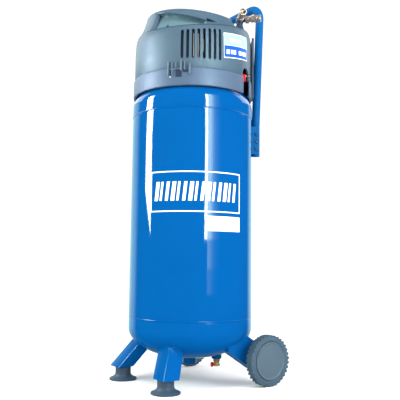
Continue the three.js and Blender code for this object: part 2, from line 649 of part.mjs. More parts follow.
// ---------------------------------------------------------------- pump
function buildPump() {
  const ring = turned([[78, 753], [81, 753], [81, DECK_Z + 1], [78, DECK_Z + 1]], 24, true);
  add('pump_platform', join(ring, box(-88, 76, -60, 60, DECK_Z, DECK_Z + SHEET)), darkSteel);
  let count = 0;
  for (const x of MOUNT_XS) {
    for (const y of [-MOUNT_Y, MOUNT_Y]) {
      count += 1;
      const mount = turned([
        [0, DECK_Z + SHEET + GAP], [11, DECK_Z + SHEET + GAP], [8.5, 782], [11, CRADLE_Z - GAP],
        [0, CRADLE_Z - GAP],
      ], 14);
      add(`rubber_mount_${count}`, mount.translate(x, y, 0), rubber);
    }
  }
  const saddleHollow = alongX(bar(49.8, -12, 80, 24)).translate(0, 0, SHAFT_Z);
  const cradle = join(
    box(-98, 76, -58, 58, CRADLE_Z, CRADLE_Z + SHEET),
    cut(box(2, 8, -38, 38, CRADLE_Z, 812), saddleHollow),
    cut(box(52, 58, -38, 38, CRADLE_Z, 812), saddleHollow),
    box(-88, -34, -20, 20, CRADLE_Z, SHAFT_Z - 42.5),
  );
  add('pump_cradle', cradle, darkSteel);

  const motor = new THREE.Group();
  motor.position.z = SHAFT_Z;
  onTankAxis.add(motor);
  add('motor_stator', alongX(turned([[43.4, 0], [49.2, 0], [49.2, 60], [43.4, 60]], 24, true)), steel, motor);
  add('motor_winding', alongX(turned([
    [30, -16], [40, -16], [42.6, -8], [42.6, 68], [40, 76], [30, 76],
  ], 24, true)), copper, motor);
  add('motor_rotor', alongX(turned([
    [0, -44], [SHAFT_R, -44], [SHAFT_R, -4], [28.8, -4], [28.8, 64], [SHAFT_R, 64], [SHAFT_R, 97], [0, 97],
  ], 20)), steel, motor);

  const blades = Array.from({ length: 9 }, (_, i) =>
    box(82, 94, -0.9, 0.9, 14, 43).rotateX((i * 2 * Math.PI) / 9));
  const fanHub = alongX(turned([[SHAFT_R + 0.3, 79], [17, 79], [17, 95], [SHAFT_R + 0.3, 95]], 18, true));
  const fanDisc = alongX(turned([[12, 79], [44, 79], [44, 82.5], [12, 82.5]], 24, true));
  add('cooling_fan', join(fanHub, fanDisc, ...blades), whitePlastic, motor);

  const web = alongX(turned([[0, -52], [30, -52], [30, -44.2], [0, -44.2]], 22));
  const pin = alongX(bar(5, -55.6, -51, 12)).translate(0, 0, STROKE / 2);
  const weight = alongX(bar(14, -55.6, -51)).translate(0, 0, -19);
  const lightening = box(-60, -40, -40, 40, 12, 40);
  const crankWeb = cut(web, lightening);
  const nose = alongX(bar(11, -52, -44.2, 14)).translate(0, 0, STROKE / 2 - 1);
  add('crank_disc', join(crankWeb, nose, pin, weight), darkSteel, motor);

  const caseShell = cut(
    join(alongX(bar(42, -92, -34, 24)), box(-92, -34, -32, 32, 0, 35.5)),
    alongX(bar(38.5, -89, -37.5, 24)),
    alongX(bar(SHAFT_R + 0.6, -40, -30, 16)),
    bar(BORE_R + 0.6, 10, 60, 24).translate(CYL_X - 1, 0, 0),
    box(-100, -30, -50, 50, CYL_LOW - SHAFT_Z - GAP, 60),
  );
  add('crankcase', caseShell, aluminium, motor);

  const centre = vec(CYL_X - 1, 0, 0);
  const wall = [[BORE_R + 0.6, CYL_LOW], [34, CYL_LOW], [34, CYL_HIGH], [BORE_R + 0.6, CYL_HIGH]];
  add('cylinder', turned(wall, 24, true).translate(centre.x, 0, 0), aluminium);
  const fins = Array.from({ length: 7 }, (_, i) =>
    box(-34, 34, -33 + i * 11 - 1.2, -33 + i * 11 + 1.2, 926, 939));
  const headBlock = join(box(-35, 35, -35, 35, CYL_HIGH + 3.6, 927), ...fins);
  add('cylinder_head', headBlock.translate(centre.x, 0, 0), aluminium);
  const valveHoles = [-12, 12].map((y) => bar(4, CYL_HIGH - 1, CYL_HIGH + 6, 10).translate(0, y, 0));
  add('valve_plate', cut(box(-35, 35, -35, 35, CYL_HIGH + GAP, CYL_HIGH + 3.3), ...valveHoles)
    .translate(centre.x, 0, 0), steel);

  // The rod's eye stands beside the crank pin, so both can move freely.
  const eyeZ = SHAFT_Z + STROKE / 2;
  const eye = cut(
    alongX(bar(11, -66, -56, 16)).translate(0, 0, eyeZ),
    alongX(bar(5.4, -70, -50, 12)).translate(0, 0, eyeZ),
  );
  const rod = join(
    eye,
    box(-65, -57, -6, 6, eyeZ + 8, CYL_HIGH - 9),
    bar(BORE_R - 0.4, CYL_HIGH - 10, CYL_HIGH - 2, 24).translate(centre.x, 0, 0),
  );
  add('connecting_rod', rod, aluminium);
}

function buildAirPath() {
  // Intake silencer on the front of the cylinder head.
  const filter = turned([[0, 0], [17, 0], [19, 3], [19, 20], [14, 24], [0, 24]], 18).rotateX(Math.PI / 2);
  add('intake_filter', filter.translate(CYL_X - 1, -35.3, 905), darkPlastic);

  const [vx, vy] = [CHECK_VALVE.x, CHECK_VALVE.y];
  const seat = headHeight(Math.hypot(vx, vy));
  add('check_valve', turned([
    [0, seat - 14], [7.8, seat - 14], [7.8, seat + 6], [13, seat + 6], [13, seat + 17], [9, seat + 19],
    [9, seat + 32], [0, seat + 32],
  ], 14).translate(vx, vy, 0), brass);
  const route = rounded([
    vec(CYL_X - 1, 35.4, 922.5), vec(CYL_X - 1, 60, 922.5), vec(vx - 24, 84, 905), vec(vx, vy, 880),
    vec(vx, vy, seat + 32.3),
  ], 9, 4);
  add('delivery_pipe', tube(route, 5, 4), copper);

  // Pressure switch behind the notch in the drum, on a nipple from the tank head.
  const at = facing(SWITCH_AZ);
  const boxHigh = 802;
  const knobAt = vec(0, -5, 757);
  const safetyAt = vec(0, 13.5, 767);
  const body = join(
    box(100, 131, -20.5, 20.5, 747, boxHigh),
    bar(6, 743.8, 750, 12).translate(110, 0, 0),
    alongX(bar(8, 130, 134, 14)).translate(0, knobAt.y, knobAt.z),
    box(104, 124, -12, 12, boxHigh - 1, boxHigh + 14),
  );
  const safetyBore = alongX(bar(3.4, 122, 140, 10)).translate(0, safetyAt.y, safetyAt.z);
  const knobBore = alongX(bar(3.3, 124, 140, 10)).translate(0, knobAt.y, knobAt.z);
  const outletBore = bar(6.6, boxHigh + 4, boxHigh + 16, 12).translate(114, 0, 0);
  add('pressure_switch', cut(body, safetyBore, knobBore, outletBore), darkPlastic, at);
  const knob = join(
    alongX(bar(10, 134.6, 149, 14, 9.2)),
    alongX(bar(2.9, 126, 136, 10)),
    box(148, 151.5, -2.5, 2.5, -9, 9),
  );
  add('switch_knob', knob.translate(0, knobAt.y, knobAt.z), redPlastic, at);
  const valve = cut(alongX(turned([
    [0, 124], [3, 124], [3, 131.4], [6, 131.4], [6, 138], [4.6, 139], [4.6, 145], [0, 145],
  ], 12)), alongX(bar(1.7, 139, 150, 8)));
  add('safety_valve', valve.translate(0, safetyAt.y, safetyAt.z), brass, at);
  const pull = join(
    alongX(bar(1.4, 140.5, 148, 8)),
    new THREE.TorusGeometry(4.2, 1, 6, 12).rotateX(Math.PI / 2).translate(152, 0, 0),
  );
  add('safety_ring', pull.translate(0, safetyAt.y, safetyAt.z), steel, at);

  // Riser from the switch to the outlet at the top.
  const start = vec(114, 0, boxHigh + 5).applyAxisAngle(vec(0, 0, 1), rad(SWITCH_AZ));
  const riser = rounded([
    start, vec(start.x, start.y, 840), vec(OUTLET.x, OUTLET.y, 862), vec(OUTLET.x, OUTLET.y, 886.6),
  ], 10, 4);
  add('outlet_riser', tube(riser, 6, 4), steel);
  const hub = new THREE.Group();
  hub.position.copy(OUTLET);
  onTankAxis.add(hub);
  const stub = (az) => alongX(bar(6.5, 6, 15, 10)).rotateZ(rad(az));
  const column = turned([
    [0, -38], [11, -38], [11, -22], [7.5, -8], [10, -8], [10, 9], [7, 9], [7, 12], [0, 12],
  ], 14);
  add('outlet_cross', join(column, stub(FRONT_COUPLER_AZ), stub(REAR_COUPLER_AZ)), darkPlastic, hub);
  for (const [name, az] of [['front', FRONT_COUPLER_AZ], ['rear', REAR_COUPLER_AZ]]) {
    const body = turned([
      [3.6, 15.3], [9, 15.3], [9, 25], [6.4, 26], [6.4, 52], [4.4, 52], [4.4, 40], [3.6, 40],
    ], 14, true);
    add(`coupler_${name}`, alongX(body).rotateZ(rad(az)), steel, hub);
    const sleeve = turned([
      [6.8, 31], [9, 31], [9.2, 34], [8.6, 36], [9.2, 47], [9.2, 56], [6.8, 56],
    ], 16, true);
    add(`coupler_sleeve_${name}`, alongX(sleeve).rotateZ(rad(az)), steel, hub);
  }
}

buildTank();
buildDrain();
buildFeet();
buildWheels();
buildHandle();
buildHousing();
buildRearControls();
buildPump();
buildAirPath();

export default compressor;
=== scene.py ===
"""Upright air compressor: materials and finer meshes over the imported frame, lights, floor and camera."""
import json
import math

import bmesh
import bpy
from mathutils import Matrix, Vector


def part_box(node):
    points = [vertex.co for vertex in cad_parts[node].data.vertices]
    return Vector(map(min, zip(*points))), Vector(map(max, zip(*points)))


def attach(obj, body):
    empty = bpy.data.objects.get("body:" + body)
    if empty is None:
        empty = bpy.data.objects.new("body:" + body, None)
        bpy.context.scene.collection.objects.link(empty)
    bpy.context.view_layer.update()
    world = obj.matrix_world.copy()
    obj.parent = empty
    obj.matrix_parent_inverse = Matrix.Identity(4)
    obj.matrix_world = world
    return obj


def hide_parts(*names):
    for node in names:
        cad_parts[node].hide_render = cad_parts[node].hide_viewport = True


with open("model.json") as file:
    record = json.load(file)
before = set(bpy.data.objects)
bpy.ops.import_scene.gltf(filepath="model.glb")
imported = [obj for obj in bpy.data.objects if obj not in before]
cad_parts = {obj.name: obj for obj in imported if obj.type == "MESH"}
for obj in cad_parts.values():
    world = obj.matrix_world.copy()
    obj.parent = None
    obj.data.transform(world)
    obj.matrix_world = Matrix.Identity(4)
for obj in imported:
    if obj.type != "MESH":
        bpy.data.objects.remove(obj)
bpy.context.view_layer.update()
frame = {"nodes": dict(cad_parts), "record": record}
nodes = frame["nodes"]

band_low, band_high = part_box("housing_band")
AXIS_Y = (band_low[1] + band_high[1]) / 2  # the tank's axis; x is 0
MM = 0.001


# ---- materials
def connect(tree, node, inputs):
    """Fills a node's inputs: a socket is linked, and anything else is set as a constant."""
    for key, value in inputs.items():
        if isinstance(value, bpy.types.NodeSocket):
            tree.links.new(value, node.inputs[key])
        else:
            node.inputs[key].default_value = value


def add_node(tree, kind, inputs=None, **settings):
    node = tree.nodes.new(kind)
    for key, value in settings.items():
        setattr(node, key, value)
    connect(tree, node, inputs or {})
    return node


def principled(name):
    mat = bpy.data.materials.new(name)
    mat.use_nodes = True
    tree = mat.node_tree
    return mat, tree, tree.nodes["Principled BSDF"]


def noise(tree, scale, detail=3.0, stretch=None):
    """Noise in object space; stretch squeezes it along the axes, for moulding flow."""
    source = add_node(tree, "ShaderNodeTexCoord").outputs["Object"]
    if stretch:
        source = add_node(tree, "ShaderNodeMapping", {"Vector": source, "Scale": stretch}).outputs["Vector"]
    inputs = {"Vector": source, "Scale": scale, "Detail": detail, "Roughness": 0.55}
    return add_node(tree, "ShaderNodeTexNoise", inputs).outputs["Fac"]


def map_range(tree, value, start, end, low, high):
    inputs = {"Value": value, "From Min": start, "From Max": end, "To Min": low, "To Max": high}
    return add_node(tree, "ShaderNodeMapRange", inputs).outputs["Result"]


def spread(tree, value, low, high):
    """Maps the middle of a noise's range to low ... high."""
    return map_range(tree, value, 0.3, 0.7, low, high)


def blend_colours(tree, value, dark, light):
    """Colour that drifts between two tones with a noise."""
    ramp = add_node(tree, "ShaderNodeValToRGB", {"Fac": value})
    for stop, tone, place in zip(ramp.color_ramp.elements, (dark, light), (0.3, 0.7)):
        stop.color = (*tone, 1)
        stop.position = place
    return ramp.outputs["Color"]


def around_tone(tree, value, colour, change):
    """A colour that drifts by a share of itself, darker and lighter."""
    light = [min(1.0, c * (1 + change)) for c in colour]
    return blend_colours(tree, value, [c * (1 - change) for c in colour], light)


def bump(tree, height, depth, under=None):
    """Relief of a depth in metres, on top of another relief if there is one."""
    inputs = {"Height": height, "Distance": depth, "Strength": 1.0}
    if under:
        inputs["Normal"] = under
    return add_node(tree, "ShaderNodeBump", inputs).outputs["Normal"]


def surface(name, colour, rough, metal=0.0, vary=0.06, vary_scale=9.0, rough_vary=0.06, grain=None, coat=0.0,
            specular=0.5):
    """A finish with drifting colour, uneven gloss and a fine relief. grain is (scale, depth in metres)."""
    mat, tree, shader = principled(name)
    patches = noise(tree, vary_scale * 3.1, 5.0)
    connect(tree, shader, {
        "Base Color": around_tone(tree, noise(tree, vary_scale, 4.0), colour, vary),
        "Roughness": spread(tree, patches, rough - rough_vary, rough + rough_vary),
        "Metallic": metal, "Coat Weight": coat, "Coat Roughness": 0.05, "Specular IOR Level": specular,
    })
    if grain:
        connect(tree, shader, {"Normal": bump(tree, noise(tree, grain[0], 2.0), grain[1])})
    return mat


def enamel(name, colour):
    """Sprayed gloss enamel: an orange-peel skin under a clear gloss."""
    mat, tree, shader = principled(name)
    peel = bump(tree, noise(tree, 420.0, 1.0), 0.000012)
    waves = bump(tree, noise(tree, 26.0, 1.0), 0.000022, under=peel)
    connect(tree, shader, {
        "Base Color": around_tone(tree, noise(tree, 5.0, 3.0), colour, 0.035),
        "Roughness": spread(tree, noise(tree, 60.0), 0.3, 0.42),
        "Normal": waves, "Coat Normal": waves, "Specular IOR Level": 0.0,
        "Coat Weight": 1.0, "Coat Roughness": 0.035, "Coat IOR": 1.45,
    })
    return mat


def moulded(name, colour):
    """Metallic-look moulded plastic with a very fine spark-eroded grain and faint flow marks."""
    mat, tree, shader = principled(name)
    flow = noise(tree, 3.0, 4.0, stretch=(1.0, 1.0, 2.6))
    speck = blend_colours(tree, noise(tree, 900.0, 1.0), (0.72, 0.74, 0.76), (1.0, 1.0, 1.0))
    inputs = {"Factor": 0.35, "A": around_tone(tree, flow, colour, 0.05), "B": speck}
    mixed = add_node(tree, "ShaderNodeMix", inputs, data_type="RGBA", blend_type="MULTIPLY")
    connect(tree, shader, {
        "Base Color": mixed.outputs["Result"],
        "Roughness": spread(tree, noise(tree, 24.0), 0.43, 0.53),
        "Normal": bump(tree, noise(tree, 1100.0, 2.0), 0.00003),
        "Metallic": 0.2,
    })
    return mat


PAINT = enamel("blue enamel", (0.0006, 0.069, 0.245))
SATIN = surface("satin blue paint", (0.0006, 0.078, 0.25), 0.5, grain=(420.0, 0.00003), vary=0.04,
                specular=0.05)
HOUSING = moulded("metallic grey plastic", (0.058, 0.106, 0.155))
# The band's plastic is a bluer copy of the drum's plastic, painting the different shading that the band shows.
BAND_SHADED_TINT = moulded("metallic grey plastic, band, painted shading", (0.066, 0.107, 0.18))
# A lighter copy of the drum's plastic paints the light on the cap scoop's inner wall.
SCOOP_PAINTED_LIGHT = moulded("metallic grey plastic, painted light", (0.105, 0.188, 0.228))
# A lighter copy of the plastic paints the light caught by the clip's ribs.
RIB_PAINTED_LIGHT = moulded("metallic grey plastic, ribs, painted light", (0.092, 0.150, 0.205))
DARK = surface("dark plastic", (0.022, 0.045, 0.10), 0.45, grain=(900.0, 0.00004), vary=0.12)
SHADE = surface("shaded plastic", (0.016, 0.026, 0.055), 0.55, grain=(900.0, 0.00004), vary=0.1, specular=0.2)
FOOT = surface("grey rubber", (0.020, 0.045, 0.083), 0.62, grain=(700.0, 0.00006), vary=0.1)
TYRE = surface("tyre rubber", (0.035, 0.070, 0.107), 0.7, grain=(600.0, 0.0001), vary=0.14, vary_scale=25.0)
WHEEL = surface("wheel plastic", (0.055, 0.092, 0.128), 0.5, grain=(900.0, 0.00004), vary=0.07)
PAINTED_BOLT = surface("painted bolt", (0.003, 0.055, 0.16), 0.45, grain=(500.0, 0.00004), vary=0.2,
                       vary_scale=60.0, specular=0.1)
STEEL = surface("zinc plated steel", (0.62, 0.64, 0.66), 0.3, 1.0, grain=(500.0, 0.00002), vary_scale=40.0)
NICKEL = surface("nickel plate", (0.46, 0.39, 0.36), 0.36, 0.75, grain=(500.0, 0.00002), vary_scale=60.0)
SHEET = surface("black sheet steel", (0.06, 0.065, 0.07), 0.5, 0.3, grain=(600.0, 0.00003))
CAST = surface("cast aluminium", (0.66, 0.67, 0.68), 0.45, 1.0, grain=(350.0, 0.00012), vary=0.1)
COPPER = surface("copper", (0.72, 0.33, 0.18), 0.3, 1.0, grain=(300.0, 0.00004), vary=0.14, vary_scale=30.0)
BRASS = surface("brass", (0.80, 0.55, 0.24), 0.38, 0.7, grain=(400.0, 0.00002), vary=0.1, vary_scale=50.0)
RED = surface("red plastic", (0.66, 0.003, 0.018), 0.45, grain=(800.0, 0.00002), vary=0.08, specular=0.12)
WHITE = surface("white plastic", (0.82, 0.81, 0.78), 0.45, grain=(800.0, 0.00003), vary=0.04)
PRINT_WHITE = surface("white print", (0.93, 0.94, 0.95), 0.35, vary=0.015, grain=(900.0, 0.00001), coat=0.5)
PRINT_CYAN = surface("pale print", (0.27, 0.52, 0.52), 0.4, vary=0.03, grain=(900.0, 0.00001), specular=0.2)
PRINT_BLUE = surface("blue print", (0.0, 0.075, 0.46), 0.4, vary=0.03, grain=(900.0, 0.00001), specular=0.15)
GLASS = surface("gauge glass", (0.92, 0.95, 0.95), 0.06, rough_vary=0.03, vary=0.02, grain=(90.0, 0.00001))
GLASS.node_tree.nodes["Principled BSDF"].inputs["Transmission Weight"].default_value = 1.0
INK = surface("black print", (0.02, 0.02, 0.022), 0.4, vary=0.1, grain=(900.0, 0.00001))

SLOTS = {
    "tank_paint": PAINT, "housing_plastic": HOUSING, "dark_plastic": DARK, "foot_rubber": FOOT,
    "tyre_rubber": TYRE, "wheel_plastic": WHEEL, "steel": STEEL, "dark_steel": SHEET, "aluminium": CAST,
    "copper": COPPER, "brass": BRASS, "red_plastic": RED, "white_plastic": WHITE,
}
node_slot = {entry["node"]: entry["material_slot"] for entry in frame["record"]["subparts"]}


def soften(obj, width, angle=38.0):
    """Rounds the sharp edges of a mesh and smooths its curved faces."""
    for poly in obj.data.polygons:
        poly.use_smooth = True
    obj.data.set_sharp_from_angle(angle=math.radians(angle))
    edge = obj.modifiers.new("edges", "BEVEL")
    edge.width = width
    edge.segments = 2
    edge.limit_method = "ANGLE"
    edge.angle_limit = math.radians(angle)
    edge.use_clamp_overlap = True
    edge.harden_normals = True


for node_name, node in nodes.items():
    finish = PAINTED_BOLT if node_name.startswith("handle_bolts") else SLOTS[node_slot[node_name]]
    node.data.materials.clear()
    node.data.materials.append(finish)
    soften(node, 0.4 * MM)


# ---- mesh building, in metres from the tank's axis
def mm(pairs):
    """An outline or profile written in millimetres, in metres."""
    return [(a * MM, b * MM) for a, b in pairs]


def lathe(bm, profile, segments=96, place=None, ring=False):
    """Turns [(radius, height), ...] about Z; a ring closes on itself."""
    place = place or Matrix.Identity(4)
    rows = []
    for r, z in profile:
        if r < 1e-6:
            rows.append([bm.verts.new(place @ Vector((0, 0, z)))])
            continue
        rows.append([
            bm.verts.new(place @ Vector((r * math.cos(a), r * math.sin(a), z)))
            for a in (2 * math.pi * i / segments for i in range(segments))
        ])
    pairs = list(zip(rows, rows[1:]))
    if ring:
        pairs.append((rows[-1], rows[0]))
    for low, high in pairs:
        for i in range(segments):
            j = (i + 1) % segments
            corners = [low[i % len(low)], low[j % len(low)], high[j % len(high)], high[i % len(high)]]
            unique = list(dict.fromkeys(corners))
            if len(unique) > 2:
                bm.faces.new(unique)


def sweep(bm, points, radius, sides=24, closed=False):
    """A round tube along a list of points; radius may be one number or one for each point."""
    points = [Vector(p) for p in points]
    count = len(points)
    radii = radius if isinstance(radius, (list, tuple)) else [radius] * count
    normal = None
    rings = []
    for i, point in enumerate(points):
        if closed:
            along = (points[(i + 1) % count] - points[i - 1]).normalized()
        else:
            along = (points[min(i + 1, count - 1)] - points[max(i - 1, 0)]).normalized()
        if normal is None:
            normal = along.orthogonal().normalized()
        normal = (normal - along * normal.dot(along)).normalized()
        side = along.cross(normal)
        rings.append([
            bm.verts.new(point + radii[i] * (math.cos(a) * normal + math.sin(a) * side))
            for a in (2 * math.pi * k / sides for k in range(sides))
        ])
    pairs = list(zip(rings, rings[1:]))
    if closed:
        pairs.append((rings[-1], rings[0]))
    for low, high in pairs:
        for k in range(sides):
            j = (k + 1) % sides
            bm.faces.new([low[k], low[j], high[j], high[k]])
    if not closed:
        bm.faces.new(rings[0][::-1])
        bm.faces.new(rings[-1])


def skin(bm, grid):
    """Faces between the rows of a grid of vertices."""
    for low, high in zip(grid, grid[1:]):
        for i in range(len(low) - 1):
            bm.faces.new([low[i], low[i + 1], high[i + 1], high[i]])


def prism(bm, outline, depth, place):
    """A plate: an outline of (u, v) pairs, thick along the third axis of its placement."""
    low = [bm.verts.new(place @ Vector((u, v, 0))) for u, v in outline]
    high = [bm.verts.new(place @ Vector((u, v, depth))) for u, v in outline]
    bm.faces.new(low[::-1])
    bm.faces.new(high)
    for i in range(len(outline)):
        j = (i + 1) % len(outline)
        bm.faces.new([low[i], low[j], high[j], high[i]])


def ribs(bm, count, line, widths, place, sides=6):
    """Grip ribs round a knob: line is (radius, height) in mm, and widths are the rib's radii along it."""
    for i in range(count):
        a = 2 * math.pi * i / count
        points = [place @ (Vector((r * math.cos(a), r * math.sin(a), z)) * MM) for r, z in line]
        sweep(bm, points, [w * MM for w in widths], sides)


def rounded_outline(corners, radius, steps=5):
    """A closed outline of (u, v) corners, each rounded; radius may differ from corner to corner."""
    out = []
    count = len(corners)
    radii = radius if isinstance(radius, (list, tuple)) else [radius] * count
    for i, corner in enumerate(corners):
        here = Vector(corner)
        back = (Vector(corners[i - 1]) - here).normalized()
        on = (Vector(corners[(i + 1) % count]) - here).normalized()
        if radii[i] <= 0:
            out.append((here.x, here.y))
            continue
        half = back.angle(on) / 2
        reach = radii[i] / math.tan(half)
        start, end = here + back * reach, here + on * reach
        for s in range(steps + 1):
            t = s / steps
            p = start.lerp(here, t).lerp(here.lerp(end, t), t)
            out.append((p.x, p.y))
    return out


def rounded_path(corners, radius, steps=14):
    """Straight runs in space with arcs at the corners."""
    out = [Vector(corners[0])]
    for i in range(1, len(corners) - 1):
        here = Vector(corners[i])
        back = (Vector(corners[i - 1]) - here).normalized()
        on = (Vector(corners[i + 1]) - here).normalized()
        half = back.angle(on) / 2
        centre = here + (back + on).normalized() * (radius / math.sin(half))
        start = here + back * (radius / math.tan(half)) - centre
        end = here + on * (radius / math.tan(half)) - centre
        axis = start.cross(end).normalized()
        turn = math.pi - 2 * half
        for s in range(steps + 1):
            out.append(centre + Matrix.Rotation(turn * s / steps, 3, axis) @ start)
    out.append(Vector(corners[-1]))
    return out


def facing(degrees, height=0.0, out=0.0):
    """Placement whose X points outwards at an angle round the axis, Y runs round it and Z is up."""
    return Matrix.Rotation(math.radians(degrees), 4, "Z") @ Matrix.Translation((out, 0, height))


ALONG_X = Matrix.Rotation(math.pi / 2, 4, "Y")  # takes +Z to +X


def link(name, data):
    """Puts a mesh, a lamp or a camera in the scene as an object."""
    obj = bpy.data.objects.new(name, data)
    bpy.context.scene.collection.objects.link(obj)
    return obj


def keep(name, bm, mat, stands_for=(), body="frame", sharp=35.0, edges=0.0):
    """Makes a piece from a mesh built about the tank's axis, and rides it on its body."""
    bmesh.ops.remove_doubles(bm, verts=bm.verts, dist=1e-6)
    bmesh.ops.recalc_face_normals(bm, faces=bm.faces)
    mesh = bpy.data.meshes.new(name)
    bm.to_mesh(mesh)
    bm.free()
    mesh.transform(Matrix.Translation((0, AXIS_Y, 0)))
    for poly in mesh.polygons:
        poly.use_smooth = True
    mesh.set_sharp_from_angle(angle=math.radians(sharp))
    obj = link(name, mesh)
    mesh.materials.append(mat)
    if edges:
        soften(obj, edges, sharp)
    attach(obj, body)
    if stands_for:
        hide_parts(*stands_for)
    return obj


def carve(obj, cutter):
    """Cuts one mesh out of another and bakes the result."""
    tool = obj.modifiers.new("cut", "BOOLEAN")
    tool.operation = "DIFFERENCE"
    tool.solver = "EXACT"
    tool.object = cutter
    bpy.context.view_layer.update()
    graph = bpy.context.evaluated_depsgraph_get()
    baked = bpy.data.meshes.new_from_object(obj.evaluated_get(graph))
    obj.modifiers.clear()
    old = obj.data
    obj.data = baked
    bpy.data.meshes.remove(old)
    bpy.data.objects.remove(cutter)


def mould(bm):
    """A loose mesh object, used only to carve with."""
    bmesh.ops.recalc_face_normals(bm, faces=bm.faces)
    mesh = bpy.data.meshes.new("cutter")
    bm.to_mesh(mesh)
    bm.free()
    mesh.transform(Matrix.Translation((0, AXIS_Y, 0)))
    return link("cutter", mesh)


# ---- tank
TANK_R = 155 * MM
SEAM_LOW, SEAM_HIGH = 158 * MM, 661 * MM
SKIRT, RISE = 26 * MM, 75.5 * MM


def head_profile(sign, seam, steps=26):
    """Outside of a head from its seam to its crown; sign is +1 for the upper one."""
    start = [(TANK_R - 1.5 * MM, 0.2 * MM), (TANK_R - 0.55 * MM, 1.0 * MM), (TANK_R - 0.15 * MM, 4 * MM),
             (TANK_R, 9 * MM)]
    curve = [
        (TANK_R * math.cos(t), SKIRT + RISE * math.sin(t))
        for t in (i / steps * math.pi / 2 for i in range(steps))
    ]
    return [(r, seam + sign * z) for r, z in start + curve + [(0, SKIRT + RISE)]]


seam_edge = [(TANK_R - 1.5 * MM, 0.2 * MM), (TANK_R - 0.5 * MM, 0.9 * MM), (TANK_R, 4 * MM), (TANK_R, 60 * MM)]
wall = [(r, SEAM_LOW + z) for r, z in seam_edge] + [(TANK_R, 400 * MM)] + [
    (r, SEAM_HIGH - z) for r, z in reversed(seam_edge)]
bm = bmesh.new()
lathe(bm, wall, 160)

HANDLE_X, HANDLE_Y = 77.5 * MM, 151.5 * MM
HANDLE_AZ = math.degrees(math.atan2(HANDLE_Y, HANDLE_X))
HANDLE_RADIAL = math.hypot(HANDLE_X, HANDLE_Y)
TUBE_R = 10.8 * MM
for az in (HANDLE_AZ, 180 - HANDLE_AZ):
    inner, outer = 11.2 * MM, 14.1 * MM
    base, mouth, floor = TANK_R - 3 * MM, HANDLE_RADIAL + 3.8 * MM, HANDLE_RADIAL - 11.1 * MM
    outline = rounded_outline(
        [(base, -outer), (mouth, -outer), (mouth, -inner), (floor, -inner), (floor, inner), (mouth, inner),
         (mouth, outer), (base, outer)],
        [0, 0.6 * MM, 0.6 * MM, 0, 0, 0.6 * MM, 0.6 * MM, 0], 3)
    prism(bm, outline, 74 * MM, facing(az, 578 * MM))
shell = keep("tank_wall", bm, PAINT, ["tank_shell"])
shell.data.materials.append(SATIN)
for poly in shell.data.polygons:
    if math.hypot(poly.center.x, poly.center.y - AXIS_Y) > TANK_R + 2 * MM:
        poly.material_index = 1

bm = bmesh.new()
lathe(bm, head_profile(1, SEAM_HIGH), 160)
keep("upper_head", bm, PAINT, ["tank_head_top"])

bm = bmesh.new()
lathe(bm, head_profile(-1, SEAM_LOW), 160)
lathe(bm, mm([(0, 42.2), (15.6, 42.2), (16.8, 43.4), (16.8, 60)]), 64)
DRAIN = Vector((47 * MM, 50 * MM, 0))
lathe(bm, mm([(6, 54.6), (11.2, 54.6), (12.8, 56.4), (12.8, 68)]), 6, Matrix.Translation(DRAIN))
keep("lower_head", bm, PAINT, ["tank_head_bottom"])

# Weld beads: rows of small overlapping ripples round both seams.
bm = bmesh.new()
for seam in (SEAM_LOW, SEAM_HIGH):
    count = 640
    path, radii = [], []
    for i in range(count):
        a = 2 * math.pi * i / count
        ripple = 0.5 + 0.5 * math.cos(i * math.pi / 2)
        path.append(((TANK_R - 1.15 * MM) * math.cos(a), (TANK_R - 1.15 * MM) * math.sin(a), seam))
        radii.append((1.75 + 0.2 * ripple) * MM)
    sweep(bm, path, radii, 10, closed=True)
keep("seam_welds", bm, PAINT, sharp=60)


# ---- printed decals
def patch(bm, az0, az1, z0, z1, radius, slant=0.0, columns=None):
    """A thin film on a round wall, from az0 to az1 degrees and z0 to z1 in mm. radius is a number in mm or a
    rule of (azimuth, height). slant moves the top edge round by that many degrees."""
    columns = columns or max(2, int(abs(az1 - az0) / 2) + 1)
    rows = 6 if callable(radius) else 1
    grid = []
    for j in range(rows + 1):
        line = []
        for i in range(columns + 1):
            z = z0 + (z1 - z0) * j / rows
            az = az0 + (az1 - az0) * i / columns + slant * j / rows
            r = radius(az, z) if callable(radius) else radius
            a = math.radians(az)
            line.append(bm.verts.new((r * MM * math.cos(a), r * MM * math.sin(a), z * MM)))
        grid.append(line)
    skin(bm, grid)


FILM_R = 155.25
bm = bmesh.new()
left, right, low, high, line = -73.5, 13.6, 411.0, 507.0, 2.6
across = math.degrees(line / FILM_R)
patch(bm, left, right, high - line, high, FILM_R)
patch(bm, left, right, low, low + line, FILM_R)
patch(bm, left, left + across, low + line, high - line, FILM_R)
patch(bm, right - across, right, low + line, high - line, FILM_R)
bars = 15
for i in range(bars):
    start = left + 4.5 + i * (right - left - 9) / bars
    width = (3.4, 2.0, 2.7)[i % 3]
    patch(bm, start, start + width, 437, 482, FILM_R, slant=1.8)
patch(bm, -21.2, 13.6, 367, 402, FILM_R)
keep("tank_decal", bm, PRINT_WHITE)

# ---- front legs and feet
LEAN = 0.597


def head_height(x, y):
    """Height of the lower head's outside over a point."""
    return SEAM_LOW - SKIRT - RISE * math.sqrt(max(0.0, 1 - (x * x + y * y) / TANK_R ** 2))


def leg_outline():
    """A channel section open to the back, folded from 3 mm sheet with rounded bends."""
    w, d, t = 49.5 * MM, 41 * MM, 3 * MM
    return rounded_outline(
        [(0, 0), (w, 0), (w, d), (w - t, d), (w - t, t), (t, t), (t, d), (0, d)],
        [5 * MM, 5 * MM, 0.8 * MM, 0.8 * MM, 2.2 * MM, 2.2 * MM, 0.8 * MM, 0.8 * MM], 6)


